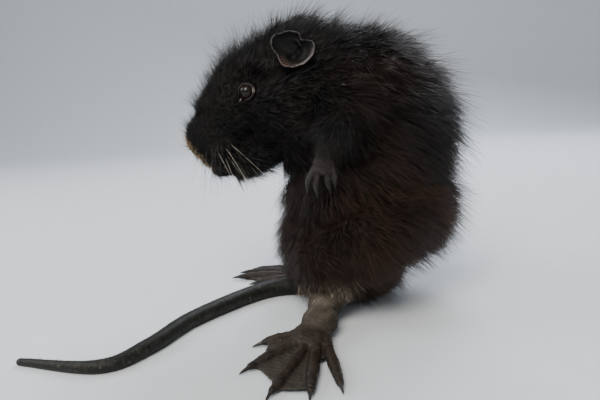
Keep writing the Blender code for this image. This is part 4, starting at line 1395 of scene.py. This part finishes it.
# The width of each kind of tuft at its rings, as a share of the whole.
UNDERFUR = (1.0,)
GUARD = (0.9, 0.8)
BRISTLE = (0.9, 0.7)
WHISKER = (1.0, 0.95, 0.88, 0.8, 0.7, 0.58, 0.46, 0.34, 0.22)
# Each region: tufts of underfur and of guard hair to a square millimetre, and the widths of the two.
COAT_REGIONS = (
    ("face", 5.0, 1.25, 0.42, 0.19),
    ("crown", 3.6, 1.2, 0.52, 0.21),
    ("neck", 2.7, 1.05, 0.70, 0.24),
    ("back", 2.2, 0.92, 0.80, 0.26),
    ("flank", 2.4, 1.0, 0.80, 0.25),
    ("rump", 2.2, 1.0, 0.80, 0.26),
    ("belly", 2.3, 0.92, 0.75, 0.25),
    ("limb_ends", 3.7, 1.1, 0.42, 0.20),
)
# Where single bristles stand out: how many to a square millimetre, their length, lift, brightness and width.
# The brightness is partly the bristles' own paler colour and partly painted backlight, highest on the face,
# crown and neck.
BRISTLED = {
    "face": (0.20, 1.5, 1.3, 2.2, 0.20),
    "crown": (0.40, 2.0, 1.6, 2.2, 0.27),
    "neck": (0.26, 1.7, 1.4, 2.0, 0.26),
    "back": (0.20, 1.8, 1.3, 1.4, 0.21),
    "flank": (0.26, 2.0, 1.45, 1.4, 0.18),
    "rump": (0.34, 2.0, 1.5, 1.4, 0.18),
    "belly": (0.12, 1.4, 1.1, 1.5, 0.20),
}


def region_masks(middles):
    """Which triangles, by their middles, each region of the coat holds."""
    local = head_places(middles)
    head = head_share(middles) > 0.5
    face = head & (-local[:, 0] > 30)
    height = middles[:, 2] / MM
    ends = ~head & ((height < 34) & (np.abs(middles[:, 1]) > 0.024) & (middles[:, 0] < -0.012))
    ends |= ~head & (np.abs(middles[:, 1]) > 0.040) & (height > 84) & (height < 120)
    rest = ~head & ~ends
    masks = {"face": face, "crown": head & ~face, "limb_ends": ends}
    masks["neck"] = rest & (height > 122)
    masks["back"] = rest & (height <= 122) & (height > 80)
    low = rest & (height <= 80)
    masks["belly"] = low & (middles[:, 0] < -0.014)
    masks["flank"] = low & (middles[:, 0] >= -0.014) & (middles[:, 1] < 0)
    masks["rump"] = low & (middles[:, 0] >= -0.014) & (middles[:, 1] >= 0)
    return masks


def layers_of(name, dense, sparse, wide, thin, long):
    """The layers of hair on one region, from the skin out. long is the user's share of the length."""
    layers = [
        Layer("underfur", dense, 0.54, 0.8, wide, UNDERFUR, 12, 0.5, 0.8),
        Layer("guard_hair", sparse, 1.2 * long, 1.0, thin, GUARD, 9, 0.8, 1.1),
    ]
    if name in BRISTLED:
        few, longer, steep, tone, width = BRISTLED[name]
        layers.append(Layer("bristles", few, longer * long, steep, width, BRISTLE, 3, 0.5, tone))
    return layers


def make_coat(sizes, colours):
    """Layers of tufts over each region: dense underfur, longer, thinner guard hair, and single bristles."""
    places, normals, triangles = KEPT["surface"]
    masks = region_masks(places[triangles].mean(1))
    fur = fur_material()
    for number, (name, *settings) in enumerate(COAT_REGIONS):
        region = unwrapped_region(places, normals, triangles[masks[name]], "region")
        for shift, layer in enumerate(layers_of(name, *settings, sizes.guard_length)):
            made = coat_piece(layer, name, region, sizes.density, colours, SEED + number * 3 + shift)
            made.data.materials.append(fur)
            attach(made, "root")


def make_whiskers(sizes, colours):
    """Stiff bristles from the whisker pads: cream and dark ones that sweep down and back."""
    places, normals, _ = KEPT["surface"]
    chance = np.random.default_rng(SEED + 100)
    local = head_places(places)
    rows = []
    for side in SIDES:
        sign = side_sign(side)
        for row in range(5):
            for column in range(6):
                target = np.array([-73 + 3.2 * column + 1.2 * (row % 2), -9.5 * sign, -8 - 3.2 * row])
                root = np.argmin(np.linalg.norm(local - target, axis=1))
                back = 0.15 * column + chance.uniform(-0.2, 0.2)
                cream = row >= 2 and column >= 3 and chance.random() < 0.75
                aside = (-0.42 + 0.15 * cream) * sign
                lie = np.array([-0.40 + back + 0.4 * cream, aside, -0.70 - 0.05 * row])
                lie = lie / np.linalg.norm(lie)
                long = (20 + 3.5 * column) * chance.uniform(0.7, 1.2) * MM * sizes.whisker_length
                long *= 0.8 if cream else 1.0
                wide = (0.21 if cream else 0.19) * MM * chance.uniform(0.8, 1.1)
                pull = np.array([0.10 + 0.1 * back, 0, -0.30]) * long
                colour = tuple(colours.whisker) if cream else to_linear(DARK_WHISKER)
                rows.append((places[root], normals[root], lie, long, 0.0, wide, pull, colour))
    *arrays, paint = [np.array(values) for values in zip(*rows)]
    uv = 0.02 + 0.96 * chance.random((len(rows), 2))
    made = tufts("whiskers", *arrays, uv, paint, WHISKER, sink=0.001, flat=1.0)
    look, tree, shader = new_material("whisker_keratin", 0.32, Specular_IOR_Level=0.5, IOR=1.55)
    colour, _ = painted(tree, 0.1, 300.0)
    tree.links.new(colour, shader.inputs["Base Color"])
    made.data.materials.append(look)
    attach(made, "root")


TAIL_HAIRS = 1500
TAIL_HAIR_WIDTH = 0.20


def make_tail_hair():
    """Sparse stiff hairs that lie along the tail from between its scales."""
    line, radius, _ = tail_line()
    chance = np.random.default_rng(SEED + 200)
    picks = chance.integers(20, len(line) - 10, TAIL_HAIRS)
    angle = chance.uniform(-0.3, math.pi + 0.3, TAIL_HAIRS)
    along, across, up = (x[picks] for x in tail_axes(line))
    normals = across * np.cos(angle)[:, None] + up * np.sin(angle)[:, None]
    roots = (line[picks] + normals * radius[picks][:, None]) * MM
    length = chance.uniform(1.8, 3.6, TAIL_HAIRS) * MM
    uv = np.stack([0.02 + 0.96 * picks / len(line), 0.05 + 0.9 * (angle + 0.3) / (math.pi + 0.6)], 1)
    paint = np.array([to_linear(TAIL_BRISTLE)]) * chance.lognormal(0, 0.4, TAIL_HAIRS)[:, None]
    lift = np.radians(chance.uniform(8, 20, TAIL_HAIRS))
    width = np.full(TAIL_HAIRS, TAIL_HAIR_WIDTH * MM)
    pull = np.zeros((TAIL_HAIRS, 3))
    made = tufts("tail_hair", roots, normals, along, length, lift, width, pull, uv, paint, GUARD)
    made.data.materials.append(bpy.data.materials["nutria_fur"])
    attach(made, "root")


# The stage.

CAMERA_AT = Vector((-43, -335, 128))
CAMERA_PITCH = math.radians(10.8)
CAMERA_ROLL = math.radians(3.5)
CAMERA_LENS = 33.0


def make_camera():
    """The photograph's view: close, a little above, and tipped slightly."""
    data = bpy.data.cameras.new("camera")
    data.lens = CAMERA_LENS
    data.sensor_width = 36.0
    data.clip_start = 0.01
    camera = new_object("camera", data)
    ahead = Vector((0, math.cos(CAMERA_PITCH), -math.sin(CAMERA_PITCH)))
    level_up = Vector((0, math.sin(CAMERA_PITCH), math.cos(CAMERA_PITCH)))
    right = Vector((1, 0, 0)) * math.cos(CAMERA_ROLL) - level_up * math.sin(CAMERA_ROLL)
    up = level_up * math.cos(CAMERA_ROLL) + Vector((1, 0, 0)) * math.sin(CAMERA_ROLL)
    turn = Matrix((right, up, -ahead)).transposed().to_4x4()
    camera.matrix_world = Matrix.Translation(CAMERA_AT * MM) @ turn
    bpy.context.scene.camera = camera


# The paper sweep, in metres.
PAPER_FRONT = -2.5
PAPER_BACK = 1.1
PAPER_BEND = 0.7
PAPER_TOP = 3.0
PAPER_SIDE = 3.5


def make_floor():
    """A pale paper sweep: flat underfoot and curved up behind."""
    bm = bmesh.new()
    profile = [(PAPER_FRONT, 0.0)]
    for k in range(13):
        angle = math.pi / 2 * k / 12
        profile.append((PAPER_BACK + PAPER_BEND * math.sin(angle), PAPER_BEND * (1 - math.cos(angle))))
    profile.append((PAPER_BACK + PAPER_BEND, PAPER_TOP))
    rows = [[bm.verts.new((x, y, z)) for x in (-PAPER_SIDE, PAPER_SIDE)] for y, z in profile]
    for a, b in zip(rows, rows[1:]):
        bm.faces.new((a[0], a[1], b[1], b[0]))
    for face in bm.faces:
        face.smooth = True
    floor = from_bmesh("floor", bm)
    look, tree, shader = new_material("matte_paper", 0.85, Specular_IOR_Level=0.2)
    where = add_node(tree, "ShaderNodeTexCoord").outputs["Object"]
    grain = add_node(tree, "ShaderNodeTexNoise", {"Vector": where}, Scale=60.0, Detail=4.0)
    ramp = add_node(tree, "ShaderNodeValToRGB", {"Fac": grain.outputs["Fac"]})
    for element, code in zip(ramp.color_ramp.elements, ("#ccd1d6", "#d6dadd")):
        element.color = (*to_linear(code), 1)
    tree.links.new(ramp.outputs["Color"], shader.inputs["Base Color"])
    floor.data.materials.append(look)


# Each light: its name, its place and width in metres, its power in watts, and its colour.
LIGHTS = (
    ("window", (-0.35, -0.95, 1.15), 0.9, 22.0, "#fff8ee"),
    ("rim", (0.35, 0.85, 0.95), 0.8, 16.0, "#f2f6ff"),
    ("side", (-1.1, 0.1, 0.7), 0.7, 7.0, "#f4f7ff"),
)
LIT_PLACE = Vector((-0.03, 0, 0.09))


def add_light(name, place, size, power, code):
    data = bpy.data.lights.new(name, "AREA")
    data.shape = "DISK"
    data.size = size
    data.energy = power
    data.color = to_linear(code)
    light = new_object(name, data)
    turn = (LIT_PLACE - Vector(place)).to_track_quat("-Z", "Y").to_matrix().to_4x4()
    light.matrix_world = Matrix.Translation(place) @ turn


def make_lights():
    """A big soft light in front, weaker ones behind and ahead of the nose, and even light all round."""
    for light in LIGHTS:
        add_light(*light)
    world = bpy.data.worlds.new("studio")
    bpy.context.scene.world = world
    world.use_nodes = True
    shade = world.node_tree.nodes["Background"]
    shade.inputs["Color"].default_value = (*to_linear("#e8edf2"), 1)
    shade.inputs["Strength"].default_value = 0.55


# What a user would change.


def colour_property(name, description, code):
    return FloatVectorProperty(
        name=name, description=description, subtype="COLOR", size=3, min=0, max=1, default=to_linear(code)
    )


def share_property(name, description, low, high):
    return FloatProperty(
        name=name, description=description, default=1.0, min=low, max=high, subtype="FACTOR"
    )


class NutriaSizes(bpy.types.PropertyGroup):
    """Sizes of the visible pieces that a user would change."""

    eye_radius: FloatProperty(
        name="Eye radius", description="Radius of the eyeball", default=EYE_RADIUS,
        unit="LENGTH", subtype="DISTANCE",
    )
    density: share_property("Coat density", "Tufts against the usual number", 0.05, 1.0)
    guard_length: share_property("Guard hair length", "Length against the usual", 0.5, 1.3)
    whisker_length: share_property("Whisker length", "Length against the usual", 0.3, 1.2)


class NutriaColours(bpy.types.PropertyGroup):
    """Colours of the coat, the skin and the eyes."""

    fur: colour_property("Fur", "Guard hair on the head and back", "#120f0e")
    fur_brown: colour_property("Brown fur", "Where the coat turns brown on belly and flanks", "#2e1c11")
    muzzle: colour_property("Pale muzzle", "Hair round the lips and nostrils", "#9c8565")
    ankle: colour_property("Ankle", "Short hair above the hind feet", "#766c5e")
    foot: colour_property("Foot", "Bare skin of the hind feet", "#231c18")
    web: colour_property("Web", "Skin between the hind toes", "#39352e")
    paw: colour_property("Paw", "Skin of the fingers", "#2c2725")
    wrist: colour_property("Wrist", "Short grizzled hair of the forearm and hand", "#3d3734")
    ear: colour_property("Ear", "Inside and back of the ear", "#131011")
    ear_rim: colour_property("Ear rim", "Pale edge of the ear", "#7f7774")
    lid: colour_property("Lids", "Edge of the lids", "#3d3537")
    iris: colour_property("Iris", "Eye colour round the pupil", "#1c110b")
    tail: colour_property("Tail", "Scales of the tail", "#1e1e19")
    claw: colour_property("Claws", "Horn of the claws", "#1d1916")
    whisker: colour_property("Whiskers", "The pale whiskers", "#d8cfc0")


class NUTRIA_OT_skin(bpy.types.Operator):
    """Makes the one skin of body, limbs, feet, ears, lids and tail"""

    bl_idname = "nutria.skin"
    bl_label = "Skin"

    def execute(self, context):
        make_skin(context.scene.nutria_colours)
        return {"FINISHED"}


class NUTRIA_OT_eyes(bpy.types.Operator):
    """Makes both eyes"""

    bl_idname = "nutria.eyes"
    bl_label = "Eyes"

    def execute(self, context):
        for side in SIDES:
            make_eye(side, context.scene.nutria_sizes, context.scene.nutria_colours)
        return {"FINISHED"}


class NUTRIA_OT_claws(bpy.types.Operator):
    """Makes the claws of all four feet"""

    bl_idname = "nutria.claws"
    bl_label = "Claws"

    def execute(self, context):
        make_claws(context.scene.nutria_colours)
        return {"FINISHED"}


class NUTRIA_OT_coat(bpy.types.Operator):
    """Grows the underfur and guard hair over the skin"""

    bl_idname = "nutria.coat"
    bl_label = "Coat"

    def execute(self, context):
        make_coat(context.scene.nutria_sizes, context.scene.nutria_colours)
        make_tail_hair()
        return {"FINISHED"}


class NUTRIA_OT_whiskers(bpy.types.Operator):
    """Sets the whiskers into the muzzle"""

    bl_idname = "nutria.whiskers"
    bl_label = "Whiskers"

    def execute(self, context):
        make_whiskers(context.scene.nutria_sizes, context.scene.nutria_colours)
        return {"FINISHED"}


class NUTRIA_OT_stage(bpy.types.Operator):
    """Makes the floor, the lights and the camera"""

    bl_idname = "nutria.stage"
    bl_label = "Stage"

    def execute(self, context):
        make_floor()
        make_lights()
        make_camera()
        return {"FINISHED"}


OPERATORS = (
    NUTRIA_OT_stage, NUTRIA_OT_skin, NUTRIA_OT_eyes, NUTRIA_OT_claws, NUTRIA_OT_coat, NUTRIA_OT_whiskers,
)


class NUTRIA_PT_panel(bpy.types.Panel):
    """The nutria's pieces, sizes and colours"""

    bl_label = "Nutria"
    bl_idname = "NUTRIA_PT_panel"
    bl_space_type = "VIEW_3D"
    bl_region_type = "UI"
    bl_category = "Nutria"

    def draw(self, context):
        for operator in OPERATORS:
            self.layout.operator(operator.bl_idname)
        for group in (context.scene.nutria_sizes, context.scene.nutria_colours):
            for name in group.__annotations__:
                self.layout.prop(group, name)


CLASSES = (NutriaSizes, NutriaColours, *OPERATORS, NUTRIA_PT_panel)


def register():
    for made in CLASSES:
        bpy.utils.register_class(made)
    bpy.types.Scene.nutria_sizes = PointerProperty(type=NutriaSizes)
    bpy.types.Scene.nutria_colours = PointerProperty(type=NutriaColours)


def unregister():
    del bpy.types.Scene.nutria_colours
    del bpy.types.Scene.nutria_sizes
    for made in reversed(CLASSES):
        bpy.utils.unregister_class(made)


def main():
    register()
    bpy.ops.nutria.stage()
    bpy.ops.nutria.skin()
    bpy.ops.nutria.eyes()
    bpy.ops.nutria.claws()
    bpy.ops.nutria.coat()
    bpy.ops.nutria.whiskers()


if __name__ == "__main__":
    main()
